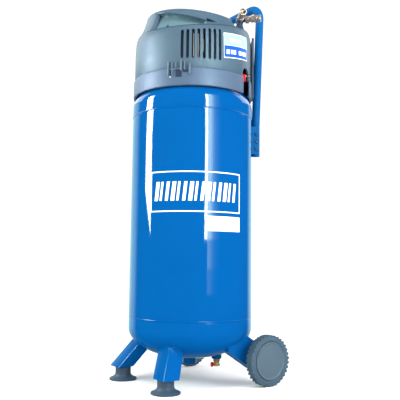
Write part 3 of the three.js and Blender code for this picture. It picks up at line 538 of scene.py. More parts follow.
for side, name in ((-1, "left"), (1, "right")):
    mirror = Matrix.Scale(side, 4, (1, 0, 0))
    shear = Matrix(((1, 0, -LEAN, 79.5 * MM), (0, 1, LEAN, -157 * MM), (0, 0, 1, 32.3 * MM), (0, 0, 0, 1)))
    place = mirror @ shear
    bm = bmesh.new()
    prism(bm, leg_outline(), 84 * MM, place)
    sole_corners = [(1, 1), (48.5, 1), (48.5, 41), (1, 41)]
    sole = rounded_outline(mm(sole_corners), 2 * MM, 3)
    prism(bm, sole, 3 * MM, place)
    keep(f"front_leg_{name}", bm, PAINT, [f"leg_front_{name}"], edges=0.35 * MM)

    # The weld follows the channel's outer face round the head.
    bm = bmesh.new()
    path = []
    channel = [(0, 0), (49.5 * MM, 0), (49.5 * MM, 41 * MM), (0, 41 * MM)]
    section = rounded_outline(channel, [5 * MM, 5 * MM, 0, 0], 6)
    open_path = section[-1:] + section[:-1]
    for i in range(len(open_path) - 1):
        for s in range(8):
            u = Vector(open_path[i]).lerp(Vector(open_path[i + 1]), s / 8)
            height = 30 * MM
            for _ in range(40):
                p = shear @ Vector((u.x, u.y, height))
                height += 0.5 * (head_height(p.x, p.y) - p.z)
            path.append(mirror @ (shear @ Vector((u.x, u.y, height))))
    radii = [(1.7 + 0.35 * math.sin(i * 1.9)) * MM for i in range(len(path))]
    sweep(bm, path, radii, 10)
    keep(f"leg_weld_{name}", bm, PAINT, sharp=60)

    bm = bmesh.new()
    foot = [(4.5, 32), (17.6, 32), (19.3, 31), (19.5, 29), (19.2, 17), (20.2, 12.5), (24, 8.6), (29, 5.9),
            (32.8, 4.6), (33.9, 3.6), (34, 1.2), (33.2, 0.2), (30, 0.2), (28.5, 1.4), (15, 5.6), (10, 6),
            (10, 14), (4.5, 14)]
    post = Matrix.Translation((side * 99.5 * MM, -133.6 * MM, 0))
    lathe(bm, mm(foot), 72, post, ring=True)
    keep(f"rubber_foot_{name}", bm, FOOT, [f"foot_{name}"])

# ---- wheels
AXLE = Vector((0, 115.4 * MM, 60.8 * MM))
LUGS = 34
PITCH_OF_LUGS = 2 * math.pi / LUGS


def tyre_block(bm, x0, x1, turn0, turn1, low, place):
    """A tread lug between two distances along the axle; it turns round the rim from turn0 to turn1."""
    ends = []
    for x, turn in ((x0, turn0), (x1, turn1)):
        for r, half in ((low, PITCH_OF_LUGS * 0.33), (60.6, PITCH_OF_LUGS * 0.27)):
            ends.append([
                bm.verts.new(place @ (Vector((x, r * math.sin(t), r * math.cos(t))) * MM))
                for t in (turn - half, turn + half)
            ])
    (a0, a1), (b0, b1), (c0, c1), (d0, d1) = ends
    bm.faces.new([a0, a1, b1, b0])
    bm.faces.new([c0, d0, d1, c1])
    bm.faces.new([b0, b1, d1, d0])
    bm.faces.new([a0, c0, c1, a1])
    bm.faces.new([a0, b0, d0, c0])
    bm.faces.new([a1, c1, d1, b1])


for side, name in ((-1, "left"), (1, "right")):
    place = Matrix.Translation(AXLE) @ Matrix.Scale(side, 4, (1, 0, 0))
    body = f"wheel_{name}"
    bm = bmesh.new()
    carcass = [(45.9, 154.6), (47.5, 153.6), (52, 153.2), (56, 154.6), (58.8, 157), (59.5, 160), (59.5, 170.5),
               (58.6, 173.4), (56, 175.4), (53.4, 176.0), (51.6, 175.7), (50.6, 176.3), (48.0, 176.2),
               (46.6, 175.4), (45.9, 174.6)]
    lathe(bm, mm(carcass), 120, place @ ALONG_X, ring=True)
    for i in range(LUGS):
        turn = i * PITCH_OF_LUGS
        half_on = turn + PITCH_OF_LUGS / 2
        tyre_block(bm, 154.2, 165.6, turn - 0.05, turn + 0.055, 56.8, place)
        tyre_block(bm, 164.4, 175.6, half_on + 0.055, half_on - 0.05, 56.2, place)
    keep(f"tread_{name}", bm, TYRE, [f"wheel_tyre_{name}"], body, edges=0.5 * MM)

    bm = bmesh.new()
    hub_cap = [(0, 176.9), (12, 176.85), (28, 176.5), (37, 175.9), (40.4, 175.5), (41.2, 175.9), (42.4, 176.7),
               (44.2, 176.7), (45.1, 176.0), (45.2, 172.4), (38, 172.4), (38, 173.6), (0, 173.6)]
    lathe(bm, mm(hub_cap), 120, place @ ALONG_X)
    keep(f"wheel_disc_{name}", bm, WHEEL, [f"wheel_cap_{name}"], body)

# ---- handle
LEAN_BACK = 0.047
KNEE, TOP = 655 * MM, 992.8 * MM
bm = bmesh.new()
lean_y = HANDLE_Y + LEAN_BACK * (TOP - KNEE)
corners = [(HANDLE_X, HANDLE_Y, 574.2 * MM), (HANDLE_X, HANDLE_Y, KNEE), (HANDLE_X, lean_y, TOP),
           (-HANDLE_X, lean_y, TOP), (-HANDLE_X, HANDLE_Y, KNEE), (-HANDLE_X, HANDLE_Y, 574.2 * MM)]
sweep(bm, rounded_path(corners, 40 * MM), TUBE_R - 0.05 * MM, 40)
keep("push_handle", bm, SATIN, ["handle"])


# ---- pump housing
EDGE_MID, EDGE_SLOPE = 891.7, 0.19
EDGE_LOW_SIDE = math.radians(-55)


def edge_height(az, r=141.5):
    """Height in mm of the drum's sloping upper edge."""
    return EDGE_MID - EDGE_SLOPE * r * math.cos(math.radians(az) - EDGE_LOW_SIDE)


# The drum's wall below its edge: (drop from the edge, radius) in mm.
SHOULDER = [(0, 141.5), (0.7, 143.1), (2.2, 144.4), (4.5, 145.9), (8, 147.3), (13, 148.7), (20, 150.0),
            (30, 151.0), (45, 151.6), (64, 151.9)]


def interpolate(x, table):
    """Straight-line lookup in a list of (x, y) pairs."""
    if x <= table[0][0]:
        return table[0][1]
    for (xa, ya), (xb, yb) in zip(table, table[1:]):
        if x <= xb:
            return ya + (yb - ya) * (x - xa) / (xb - xa)
    return table[-1][1]


def drum_radius(az, z):
    """Radius in mm of the drum's outside at an azimuth and a height."""
    return interpolate(edge_height(az) - z, SHOULDER)


def standing(az, out):
    """Placement for a radial cut or rib: u is up, v runs round and the depth goes outwards from a radius."""
    return facing(az) @ Matrix(((0, 0, 1, out), (0, 1, 0, 0), (1, 0, 0, 0), (0, 0, 0, 1)))


def slot_cutter(bm, az, low, high, width):
    """A slot with round ends, cut radially."""
    half = width / 2
    outline = []
    for i in range(13):
        a = math.pi * i / 12
        outline.append((high - half + half * math.sin(a), half * math.cos(a)))
    for i in range(13):
        a = math.pi + math.pi * i / 12
        outline.append((low + half + half * math.sin(a), half * math.cos(a)))
    prism(bm, mm(outline), 40 * MM, standing(az, 130 * MM))


SWITCH_AZ = 27


def notch_cutter(bm):
    """The arched opening in front of the pressure switch."""
    half, top = 19.0, 783.0
    outline = [(700, -half), (700, half)]
    for i in range(17):
        a = math.pi / 2 - math.pi * i / 16
        outline.append((top - half + half * math.cos(a), half * math.sin(a)))
    prism(bm, mm(outline), 50 * MM, standing(SWITCH_AZ, 125 * MM))


def round_shell(bm, columns, rows, point):
    """A closed thin shell from a rule point(column, row) over a full turn; the last row closes on the first."""
    grid = [[bm.verts.new(point(i, j)) for i in range(columns)] for j in range(rows)]
    for j in range(rows):
        for i in range(columns):
            n, m = (i + 1) % columns, (j + 1) % rows
            bm.faces.new([grid[j][i], grid[j][n], grid[m][n], grid[m][i]])


DRUM_COLUMNS = 288
DRUM_LOW = 757.4
drops = [d for d, _ in SHOULDER]


def drum_point(i, j):
    """Point of the drum's shell: down its outside, round its foot and back up its inside."""
    az = 360 * i / DRUM_COLUMNS
    edge = edge_height(az)
    if j < len(drops):
        z, r = edge - drops[j], SHOULDER[j][1]
    elif j == len(drops):
        z, r = DRUM_LOW + 1.2, 151.9
    elif j == len(drops) + 1:
        z, r = DRUM_LOW, 151.2
    elif j == len(drops) + 2:
        z, r = DRUM_LOW, 149.4
    else:
        z, r = edge - 3.0, 140.5
    a = math.radians(az)
    return Vector((r * math.cos(a), r * math.sin(a), z)) * MM


bm = bmesh.new()
round_shell(bm, DRUM_COLUMNS, len(drops) + 4, drum_point)
drum = keep("upper_drum", bm, HOUSING, ["housing_drum"])
bm = bmesh.new()
for i in range(8):
    slot_cutter(bm, -45.2 + 5.1 * i, 780, 851.4 + 1.2 * i, 7)
carve(drum, mould(bm))
bm = bmesh.new()
notch_cutter(bm)
carve(drum, mould(bm))
drum.data.set_sharp_from_angle(angle=math.radians(35))

# Dark sheets paint the shade inside the housing: one close behind the slots, which stops short of the lower
# part of the third to fifth slots, where the pump's leads show through, and one further in.
bm = bmesh.new()
for az0, az1, z0 in ((-50, -36, 768), (-36, -21.5, 846), (-21.5, -2, 768)):
    patch(bm, az0, az1, z0, 862, lambda az, z: 147.2 - 8.9 * (z - 757) / 105)
patch(bm, -50, -21.5, 768, 862, 126)
keep("vent_painted_shade", bm, SHADE)

# Pale, copper and steel leads hang behind the slots.
for name, mat, slot, leads in (
    ("pale_leads", WHITE, "white_plastic",
     ((-34.6, 788, 846, 0.9), (-30.0, 782, 846, 0.8), (-25.2, 800, 845, 0.9))),
    ("copper_leads", COPPER, "copper",
     ((-39.8, 829, 833, 1.3), (-33.4, 786, 812, 0.7), (-28.9, 786, 826, 0.7))),
    ("steel_leads", STEEL, "steel",
     ((-45.0, 838, 841.5, 1.3), (-29.4, 800, 846, 0.6), (-24.2, 786, 834, 0.7))),
):
    bm = bmesh.new()
    for az, low, high, radius in leads:
        a = math.radians(az)
        run = [low + (high - low) * i / 8 for i in range(9)]
        r = [144.6 - 8.9 * (z - 757) / 105 + 0.7 * math.sin(z / 5.0 + az) for z in run]
        sweep(bm, [Vector((d * math.cos(a), d * math.sin(a), z)) * MM for d, z in zip(r, run)], radius * MM, 10)
    keep(name, bm, mat)

# Lower band with its lip, rim and clip.
bm = bmesh.new()
lathe(bm, mm([
    (149.5, 713.2), (152.6, 713.2), (153.9, 713.9), (154.4, 715.4), (154.5, 718), (154.5, 753.5),
    (154.2, 755.6), (153.3, 756.9), (152.2, 757.0), (149.0, 757.0), (149.0, 765), (147, 765), (147, 754.5),
    (151.8, 754.5), (151.8, 716), (149.5, 716),
]), 256, ring=True)
band = keep("lower_band", bm, BAND_SHADED_TINT, ["housing_band"])
bm = bmesh.new()
notch_cutter(bm)
carve(band, mould(bm))
bm = bmesh.new()
arch = [(733, -13), (733, 9)] + [
    (747 + 6 * math.sin(math.pi * i / 12), 9 - 11 * (1 - math.cos(math.pi * i / 12))) for i in range(13)]
prism(bm, mm(arch), 12 * MM, standing(-48, 152.4 * MM))
carve(band, mould(bm))
band.data.set_sharp_from_angle(angle=math.radians(35))

bm = bmesh.new()
for az, width, low, high, proud in (
    (-57.4, 4.0, 737, 772, 4.6), (-54.0, 2.2, 741, 770, 2.0), (-50.2, 2.2, 757, 770, 1.6),
    (-45.4, 3.8, 748, 773, 4.8), (-42.4, 2.6, 750, 772, 3.4), (-37.8, 3.8, 739, 766, 4.4),
):
    half = width / 2
    outline = rounded_outline([(low, -half), (low, half), (high, half), (high, -half)], width * 0.45, 4)
    prism(bm, mm(outline), (4.5 + proud) * MM, standing(az, 150 * MM))
# The ribs take the lighter plastic: painted light.
keep("clip_ribs", bm, RIB_PAINTED_LIGHT, edges=0.6 * MM)

# Dark films paint the shade in the clip's carved arch and between its ribs.
bm = bmesh.new()
patch(bm, -52.4, -44.2, 733.6, 746, 152.6)
patch(bm, -51.0, -45.6, 746, 751.5, 152.6)
patch(bm, -56.2, -54.6, 738, 752, 154.7)
patch(bm, -44.0, -39.0, 744, 753, 154.7)
keep("clip_painted_shade", bm, SHADE)

bm = bmesh.new()
place = facing(-56.2, 735 * MM, 153.6 * MM) @ ALONG_X
lathe(bm, mm([(0, 2.1), (1.6, 2.0), (2.6, 1.2), (2.9, 0), (2.9, -2)]), 24, place)
keep("clip_screw", bm, STEEL)

# Cap: a falling dome with a wedge-shaped scoop above the drum's ledge. Its outline is (rise, radius) before it
# is tilted, and the scoop's upper lip is (azimuth, height), in mm.
CAP_PROFILE = [(0.0, 141.3), (1.6, 139.8), (5, 137.2), (10, 133.9), (16, 130.6), (22, 128.2), (25.9, 126.4),
               (29.8, 125.1), (33.7, 124.0), (37.0, 122.4), (39.9, 119.6), (42.8, 114.8), (45.4, 108.6),
               (48.3, 100), (51.2, 89), (54.2, 76), (56.8, 62), (59.0, 47), (61.0, 32), (62.7, 16), (63.6, 0.0)]
BROW = [(-84, 916), (-72, 912), (-62, 908.5), (-50, 901), (-40, 895), (-32, 890), (-26, 886), (-20, 881)]
CAP_RISE, CAP_FALL, CAP_LOW_SIDE = 63.6, 0.184, math.radians(24.7)


def smooth(x, a, b):
    """Rises from 0 at a to 1 at b without a kink."""
    t = min(1.0, max(0.0, (x - a) / (b - a)))
    return t * t * (3 - 2 * t)


def cap_point(az, rise, radius):
    """Point of the cap's outside; rise runs from 0 at its foot to CAP_RISE at its crown."""
    a = math.radians(az)
    lift = rise / CAP_RISE
    edge = edge_height(az, radius) - 884 + 0.8
    z = 884 + rise + edge * (1 - lift) - CAP_FALL * radius * math.cos(a - CAP_LOW_SIDE) * lift
    turn = (az + 180) % 360 - 180
    brow = interpolate(turn, BROW)
    above_ledge = z - edge_height(az)
    scoop = smooth(turn, -82.6, -80.4) * (1 - smooth(turn, -24, -19)) * smooth(above_ledge, 1.4, 3.4)
    scoop *= 1 - smooth(z, brow - 2.6, brow + 0.4)
    slit_top = 891.0 - (turn + 20) * 0.9
    slit = smooth(turn, -20.6, -19.6) * (1 - smooth(turn, -12.5, -10)) * smooth(z, 880.6, 881.8)
    slit *= 1 - smooth(z, slit_top - 1.0, slit_top + 0.6)
    recess = smooth(turn, 14, 26) * (1 - smooth(turn, 58, 72)) * (1 - smooth(rise, 28, 50)) * smooth(rise, 1, 7)
    depth = 5 + 12 * min(1.0, max(0.0, above_ledge / (brow - edge_height(az))))
    pillar = smooth(turn, -84.4, -83.4) * (1 - smooth(turn, -80.4, -79.4)) * smooth(above_ledge, 1.4, 3.0)
    pillar *= 1 - smooth(z, 914, 918)
    lip = smooth(turn, -80, -74) * (1 - smooth(turn, -22, -16)) * smooth(z, brow - 0.4, brow + 1.2)
    lip *= 1 - smooth(z, brow + 2.0, brow + 6.0)
    r = radius - max(depth * scoop, 9 * pillar) - 8 * slit - 24 * recess + 1.3 * lip
    return Vector((r * math.cos(a), r * math.sin(a), z)) * MM


CAP_COLUMNS = 360
fine = []
for (za, ra), (zb, rb) in zip(CAP_PROFILE, CAP_PROFILE[1:]):
    steps = max(1, round(max(zb - za, abs(rb - ra) / 4) / 0.9))
    fine += [(za + (zb - za) * s / steps, ra + (rb - ra) * s / steps) for s in range(steps)]
bm = bmesh.new()
rows = [[bm.verts.new(cap_point(360 * i / CAP_COLUMNS, z, r)) for i in range(CAP_COLUMNS)] for z, r in fine]
crown = bm.verts.new(cap_point(0, CAP_RISE, 0.0))
for low, high in zip(rows, rows[1:]):
    for i in range(CAP_COLUMNS):
        n = (i + 1) % CAP_COLUMNS
        bm.faces.new([low[i], low[n], high[n], high[i]])
for i in range(CAP_COLUMNS):
    bm.faces.new([rows[-1][i], rows[-1][(i + 1) % CAP_COLUMNS], crown])
cap = keep("cap_dome", bm, HOUSING, ["housing_cap"], sharp=50)
cap.data.materials.append(SCOOP_PAINTED_LIGHT)
cap.data.materials.append(SHADE)
for poly in cap.data.polygons:
    x, y, z = poly.center.x / MM, (poly.center.y - AXIS_Y) / MM, poly.center.z / MM
    turn = math.degrees(math.atan2(y, x))
    above_ledge = z - edge_height(turn)
    # The scoop's inner wall takes the lighter copy of the plastic: painted light.
    if -80.0 < turn < -21 and above_ledge > 2.2 and z < interpolate(turn, BROW) - 1.2:
        poly.material_index = 1
    # The pillar groove and the slit take the shaded plastic: painted shade in them.
    elif -83.2 < turn < -81.2 and above_ledge > 2.2 and z < 915:
        poly.material_index = 2
    elif -19.8 < turn < -11 and 881.4 < z < 890.6 - (turn + 20) * 0.9:
        poly.material_index = 2

bm = bmesh.new()
place = facing(-62, 870 * MM, 139.6 * MM)
lathe(bm, mm([(0, 1.9), (2.0, 1.7), (2.7, 0.9), (2.8, -2)]), 20, place)
keep("ledge_screw", bm, SHEET)

# Rear cover: a dark panel with a sloping top over the back of the drum.
bm = bmesh.new()
columns = 60
sections = []
for i in range(columns + 1):
    az = 47 + 86 * i / columns
    a = math.radians(az)
    y = 160.5 * math.sin(a)
    top = min(882.0, 1004.0 - 0.6745 * y - 21.5)
    loop = []
    for r, z in ((155, 722.4), (159.3, 722.4), (160.4, 723.6), (160.5, 726), (160.5, top - 4),
                 (160.2, top - 1.4), (159.0, top), (155, top)):
        loop.append(bm.verts.new((r * MM * math.cos(a), r * MM * math.sin(a), z * MM)))
    sections.append(loop)
for a_loop, b_loop in zip(sections, sections[1:]):
    for j in range(8):
        n = (j + 1) % 8
        bm.faces.new([a_loop[j], b_loop[j], b_loop[n], a_loop[n]])
bm.faces.new(sections[0])
bm.faces.new(sections[-1][::-1])
keep("rear_panel", bm, DARK, ["rear_cover"])

# ---- drum label
# Corners as (azimuth, height): low left, low right, high right, high left.
LABEL = [(-5.2, 788.8), (29.0, 802.8), (28.0, 863.4), (-5.7, 852.3)]


def label_patch(bm, u0, u1, v0, v1, proud):
    """Part of the label, in fractions of its width and height."""
    across, up = max(2, int(24 * (u1 - u0))), max(2, int(14 * (v1 - v0)))
    grid = []
    for j in range(up + 1):
        v = v0 + (v1 - v0) * j / up
        row = []
        for i in range(across + 1):
            u = u0 + (u1 - u0) * i / across
            low = [LABEL[0][k] + (LABEL[1][k] - LABEL[0][k]) * u for k in (0, 1)]
            high = [LABEL[3][k] + (LABEL[2][k] - LABEL[3][k]) * u for k in (0, 1)]
            az, z = [low[k] + (high[k] - low[k]) * v for k in (0, 1)]
            r = drum_radius(az, z) + proud
            a = math.radians(az)
            row.append(bm.verts.new(Vector((r * math.cos(a), r * math.sin(a), z)) * MM))
        grid.append(row)
    skin(bm, grid)


bm = bmesh.new()
label_patch(bm, 0, 1, 0, 1, 0.15)
for start, width in ((0.08, 0.11), (0.24, 0.04), (0.31, 0.11), (0.54, 0.12), (0.71, 0.12), (0.86, 0.05)):
    label_patch(bm, start, start + width, 0.16, 0.33, 0.45)
for start, width in ((0.24, 0.09), (0.36, 0.09), (0.54, 0.10)):
    label_patch(bm, start, start + width, 0.66, 0.79, 0.45)
keep("label_white", bm, PRINT_WHITE)
bm = bmesh.new()
label_patch(bm, 0.01, 0.985, 0.51, 0.985, 0.3)
keep("label_pale", bm, PRINT_CYAN)
bm = bmesh.new()
label_patch(bm, 0.01, 0.985, 0.03, 0.495, 0.3)
keep("label_blue", bm, PRINT_BLUE)

# ---- air outlet
OUTLET = Matrix.Translation((95 * MM, 80.5 * MM, 925 * MM))


def outward(az):
    """Placement at the outlet's middle whose Z points outwards."""
    return OUTLET @ Matrix.Rotation(math.radians(az), 4, "Z") @ ALONG_X


bm = bmesh.new()
lathe(bm, mm([
    (0, -37.8), (10.6, -37.8), (11, -37), (11, -23), (10.4, -21.6), (7.9, -10), (8.2, -8.6), (9.6, -8),
    (10, -7.2), (10, 8), (9.4, 9), (7, 9), (7, 11.4), (6.4, 12), (0, 12)]), 48, OUTLET)
arm = [(0, 5), (7.6, 5), (7.6, 9.2), (6.5, 9.8), (6.5, 15), (0, 15)]
for az in (-30, 38):
    lathe(bm, mm(arm), 6, outward(az))
keep("outlet_fitting", bm, DARK, ["outlet_cross"], edges=0.3 * MM)

for az, name in ((-30, "front"), (38, "rear")):
    bm = bmesh.new()
    lathe(bm, mm([
        (3.6, 15.4), (8.2, 15.4), (8.9, 16.2), (8.9, 24.2), (8.2, 25), (7.2, 25.2), (6.4, 26), (6.4, 51.4),
        (5.9, 52), (4.6, 52), (4.4, 51.4), (4.4, 40), (3.6, 40)]), 48, outward(az), ring=True)
    for i in range(6):
        flat = Matrix.Rotation(math.pi * i / 3, 4, "Z")
        outline = rounded_outline([(7.4, -4.6), (9.0, -4.2), (9.0, 4.2), (7.4, 4.6)], 0.3, 2)
        prism(bm, mm(outline), 7 * MM,
              outward(az) @ flat @ Matrix.Translation((0, 0, 16.6 * MM)))
    keep(f"coupler_{name}_body", bm, NICKEL, [f"coupler_{name}"])
    bm = bmesh.new()
    core = [(0, 44), (1.6, 44), (1.6, 48.5), (4.35, 49.4), (4.35, 42), (0, 42)]
    lathe(bm, mm(core), 40, outward(az))
    keep(f"coupler_{name}_core", bm, COPPER)
    bm = bmesh.new()
    lathe(bm, mm([
        (6.8, 31), (8.6, 31), (9.15, 31.8), (9.2, 34.2), (8.4, 35.4), (8.4, 37), (9.1, 38), (9.1, 46.8),
        (8.5, 47.8), (8.5, 49), (9.2, 50), (9.2, 54.8), (8.6, 55.9), (7.2, 56), (6.8, 55.4)]),
        64, outward(az), ring=True)
    ribs(bm, 40, [(9.06, z) for z in (38.6, 40, 44.8, 46.2)], (0.1, 0.42, 0.42, 0.1), outward(az))
    keep(f"sleeve_{name}", bm, NICKEL, [f"coupler_sleeve_{name}"], f"sleeve_{name}")

# ---- pressure switch, safety valve and drain
bm = bmesh.new()
place = facing(SWITCH_AZ, 757 * MM) @ Matrix.Translation((0, -5 * MM, 0)) @ ALONG_X
lathe(bm, mm([
    (0, 126), (2.9, 126), (2.9, 134.8), (9.4, 134.8), (10, 135.6), (10, 139), (9.5, 147.6), (8.6, 149),
    (0, 149)]), 48, place)
ribs(bm, 24, [(9.75, z) for z in (136, 137, 146, 147)], (0.1, 0.5, 0.4, 0.1), place)
grip = rounded_outline([(-9, -2.4), (9, -2.4), (9, 2.4), (-9, 2.4)], 1.6, 4)
prism(bm, mm(grip), 4.4 * MM, place @ Matrix.Translation((0, 0, 147 * MM)))
keep("red_switch_knob", bm, RED, ["switch_knob"], "switch", edges=0.4 * MM)

bm = bmesh.new()
place = facing(SWITCH_AZ, 767 * MM) @ Matrix.Translation((0, 13.5 * MM, 0)) @ ALONG_X
lathe(bm, mm([
    (0, 124), (3, 124), (3, 131.5), (5.6, 131.5), (6, 132), (6, 137.4), (5.6, 138), (4.6, 139), (4.5, 144.4),
    (3.9, 145), (0, 145)]), 6, place)
keep("safety_relief", bm, BRASS, ["safety_valve"], edges=0.3 * MM)

bm = bmesh.new()
place = facing(SWITCH_AZ, 767 * MM) @ Matrix.Translation((0, 13.5 * MM, 0))
ring = [place @ Vector(((152 + 4.2 * math.cos(a)) * MM, 0, 4.2 * MM * math.sin(a)))
        for a in (2 * math.pi * i / 40 for i in range(40))]
sweep(bm, ring, 0.95 * MM, 12, closed=True)
sweep(bm, [place @ Vector((x * MM, 0, 0)) for x in (140.6, 144, 147.9)], 1.35 * MM, 16)
keep("relief_ring", bm, STEEL, ["safety_ring"], "safety_pull")

bm = bmesh.new()
profile = [(0, 37), (7.2, 37), (8.3, 37.6), (8.5, 38.4), (8.5, 42.6), (8.0, 43.4), (7.0, 44), (7.0, 46.8),
           (8.0, 47.4)]
for i in range(5):
    z = 48 + 1.25 * i
    profile += [(8.5, z), (7.8, z + 0.62)]
profile += [(8.3, 54), (5.2, 54), (5.2, 62), (0, 62)]
lathe(bm, mm(profile), 48, Matrix.Translation(DRAIN))
keep("drain_body", bm, BRASS, ["drain_valve"], sharp=50)

bm = bmesh.new()
place = Matrix.Translation(DRAIN) @ facing(-112, 41 * MM) @ ALONG_X
lathe(bm, mm([
    (0, 3.4), (2.2, 3.4), (2.2, 9.3), (5.4, 9.3), (5.9, 9.9), (5.9, 13.7), (5.2, 14.4), (0, 14.4)]), 40, place)
ribs(bm, 18, [(5.7, z) for z in (9.8, 10.4, 13.2, 13.8)], (0.1, 0.42, 0.42, 0.1), place)
keep("red_drain_knob", bm, RED, ["drain_knob"], "drain_screw")

# ---- gauge and regulator on the rear panel
FACE = facing(98, 800 * MM)  # the gauge's placement, X outwards
GAUGE = FACE @ ALONG_X
DIAL_R, DIAL_X = 17.4, 170.7
PRINT_X = DIAL_X + 0.08
bm = bmesh.new()
lathe(bm, mm([
    (0, 155.6), (4.9, 155.6), (4.9, 161.8), (19.2, 161.8), (20, 162.6), (20, 172.4), (19.2, 173.4),
    (18.2, 173.4), (17.6, 172.6), (17.6, 170.6), (0, 170.6)]), 72, GAUGE)
keep("gauge_case", bm, STEEL, ["pressure_gauge"])

bm = bmesh.new()
lathe(bm, [(r * MM, DIAL_X * MM) for r in (0, DIAL_R / 2, DIAL_R)], 64, GAUGE)
keep("gauge_dial", bm, PRINT_WHITE)

bm = bmesh.new()
for i in range(31):
    # The scale runs clockwise from lower left to lower right, seen from outside.
    turn = math.radians(225 - 9 * i)
    major = i % 5 == 0
    inner, outer, half = (12.6, 16.2, 0.32) if major else (14.6, 16.2, 0.16)
    spot = FACE @ Matrix.Rotation(turn, 4, "X")
    corners = [(inner, -half), (outer, -half), (outer, half), (inner, half)]
    bm.faces.new([bm.verts.new(spot @ (Vector((PRINT_X, u, v)) * MM)) for u, v in corners])
keep("gauge_scale", bm, INK)

DIGITS = {
    "0": ["111", "101", "101", "101", "111"], "1": ["010", "110", "010", "010", "111"],
    "2": ["111", "001", "111", "100", "111"], "4": ["101", "101", "111", "001", "001"],
    "6": ["111", "100", "111", "101", "111"], "8": ["111", "101", "111", "101", "111"],
}
CELL = 0.52
bm = bmesh.new()
for i, number in enumerate(("0", "2", "4", "6", "8", "10")):
    turn = math.radians(225 - 54 * i)
    wide = 4 * len(number) - 1
    for place_in_word, digit in enumerate(number):
        for row, cells in enumerate(DIGITS[digit]):
            for column, cell in enumerate(cells):
                if cell == "0":
                    continue
                y = 9.8 * math.cos(turn) + CELL * (place_in_word * 4 + column - wide / 2)
                z = 9.8 * math.sin(turn) + CELL * (2 - row)
                bm.faces.new([
                    bm.verts.new(FACE @ (Vector((PRINT_X, y + dy, z + dz)) * MM))
                    for dy, dz in ((0, 0), (CELL, 0), (CELL, CELL), (0, CELL))
                ])
keep("gauge_numbers", bm, INK)

bm = bmesh.new()
needle_turn = FACE @ Matrix.Rotation(math.radians(225), 4, "X")
outline = [(-4, -0.8), (15, -0.15), (15, 0.15), (-4, 0.8)]
for z in (171.0, 171.5):
    bm.faces.new([bm.verts.new(needle_turn @ (Vector((z, u, v)) * MM)) for u, v in outline])
boss = [(0, 170.9), (2, 170.9), (2, 172.0), (1.4, 172.5), (0, 172.5)]
lathe(bm, mm(boss), 24, GAUGE)
keep("red_needle", bm, RED, ["gauge_needle"], "needle")

bm = bmesh.new()
pane = [(0, 172.7), (17.5, 172.7), (17.7, 172.95), (17.8, 173.15), (0, 173.15)]
lathe(bm, mm(pane), 64, GAUGE)
keep("gauge_glass", bm, GLASS)

bm = bmesh.new()
place = facing(81, 800 * MM) @ ALONG_X
lathe(bm, mm([
    (0, 155.6), (3.9, 155.6), (3.9, 161.8), (14.2, 161.8), (14.9, 162.6), (14.6, 166), (13.6, 172.2),
    (12.6, 173.4), (9, 173.4), (8.4, 172.9), (0, 172.9)]), 60, place)
ribs(bm, 20, [(14.3, 163), (14.2, 164), (13.5, 171), (13.2, 172)], (0.2, 0.8, 0.7, 0.2), place, 8)
keep("regulator_grip", bm, DARK, ["regulator_knob"], "regulator")


# ---- studio
def emitter(name, corners, strength, colour=(1.0, 1.0, 1.0)):
    """A glowing panel, seen only in mirror reflections."""
    mesh = bpy.data.meshes.new(name)
    mesh.from_pydata([tuple(c) for c in corners], [], [list(range(len(corners)))])
    obj = link(name, mesh)
    mat = bpy.data.materials.new(name)
    mat.use_nodes = True
    tree = mat.node_tree
    tree.nodes.clear()
    glow = add_node(tree, "ShaderNodeEmission", {"Color": (*colour, 1), "Strength": strength})
    add_node(tree, "ShaderNodeOutputMaterial", {"Surface": glow.outputs["Emission"]})
    mesh.materials.append(mat)
    obj.visible_camera = False
    obj.visible_diffuse = False
    obj.visible_shadow = False


AZ = math.radians(54.26114)
FORWARD = Vector((-math.sin(AZ), math.cos(AZ), 0))
RIGHT = Vector((math.cos(AZ), math.sin(AZ), 0))
UP = Vector((0, 0, 1))
AXIS = Vector((0, AXIS_Y, 0))


def around(degrees, distance, height):
    """A point round the tank, in degrees to the right of the side that faces the camera."""
    t = math.radians(degrees)
    return AXIS + (math.sin(t) * RIGHT - math.cos(t) * FORWARD) * distance + UP * height


BOX_AWAY = 1.6


def upright(start, end, low, high, low_start=None):
    """Corners of a standing panel between two angles and two heights; its foot may start higher on one side."""
    foot = low if low_start is None else low_start
    return [around(start, BOX_AWAY, foot), around(end, BOX_AWAY, low), around(end, BOX_AWAY, high),
            around(start, BOX_AWAY, high)]


# Tall strip boxes that draw the two bright lines down the enamel; the right one fades out to its right.
emitter("strip_left", upright(-91, -76, 0.42, 1.6, low_start=0.64), 30.0)
emitter("strip_right", upright(24, 29.2, 0.40, 1.6), 32.0)
for start, end, strength in ((29.2, 35, 13), (35, 38.5, 8), (38.5, 42, 3.6), (42, 46, 1.6), (46, 51, 0.6)):
    for low, high, share in ((0.14, 0.26, 0.12), (0.26, 0.40, 0.3), (0.40, 1.6, 1.0)):
        emitter(f"fade_{start:.0f}_{low}", upright(start, end, low, high), strength * share, (0.76, 1.0, 0.76))
# High side boxes behind the object, mirrored on the housing's flanks.
for name, start, end, strength in (("high_left", -150, -110, 2.8), ("high_right", 108, 150, 2.6)):
    emitter(name, upright(start, end, 1.2, 2.3), strength)


def area_light(name, location, target, width, height, power, colour=(1, 1, 1)):
    """A soft lamp that lights the surfaces but doesn't show in their reflections."""
    data = bpy.data.lights.new(name, "AREA")
    data.shape = "RECTANGLE"
    data.size, data.size_y = width, height
    data.energy = power
    data.color = colour
    obj = link(name, data)
    obj.location = location
    obj.rotation_euler = (Vector(target) - Vector(location)).to_track_quat("-Z", "Y").to_euler()
    obj.visible_glossy = False


area_light("key", around(64, 2.4, 1.3), (0, 0, 0.5), 1.6, 1.6, 66)
area_light("fill", around(-62, 2.4, 1.2), (0, 0, 0.5), 1.8, 1.8, 52, (0.82, 1.0, 0.84))
area_light("front", around(0, 2.8, 1.2), (0, 0, 0.5), 1.8, 1.8, 18)
area_light("top", around(-20, 0.8, 2.6), (0, 0, 0.9), 1.2, 1.2, 34)

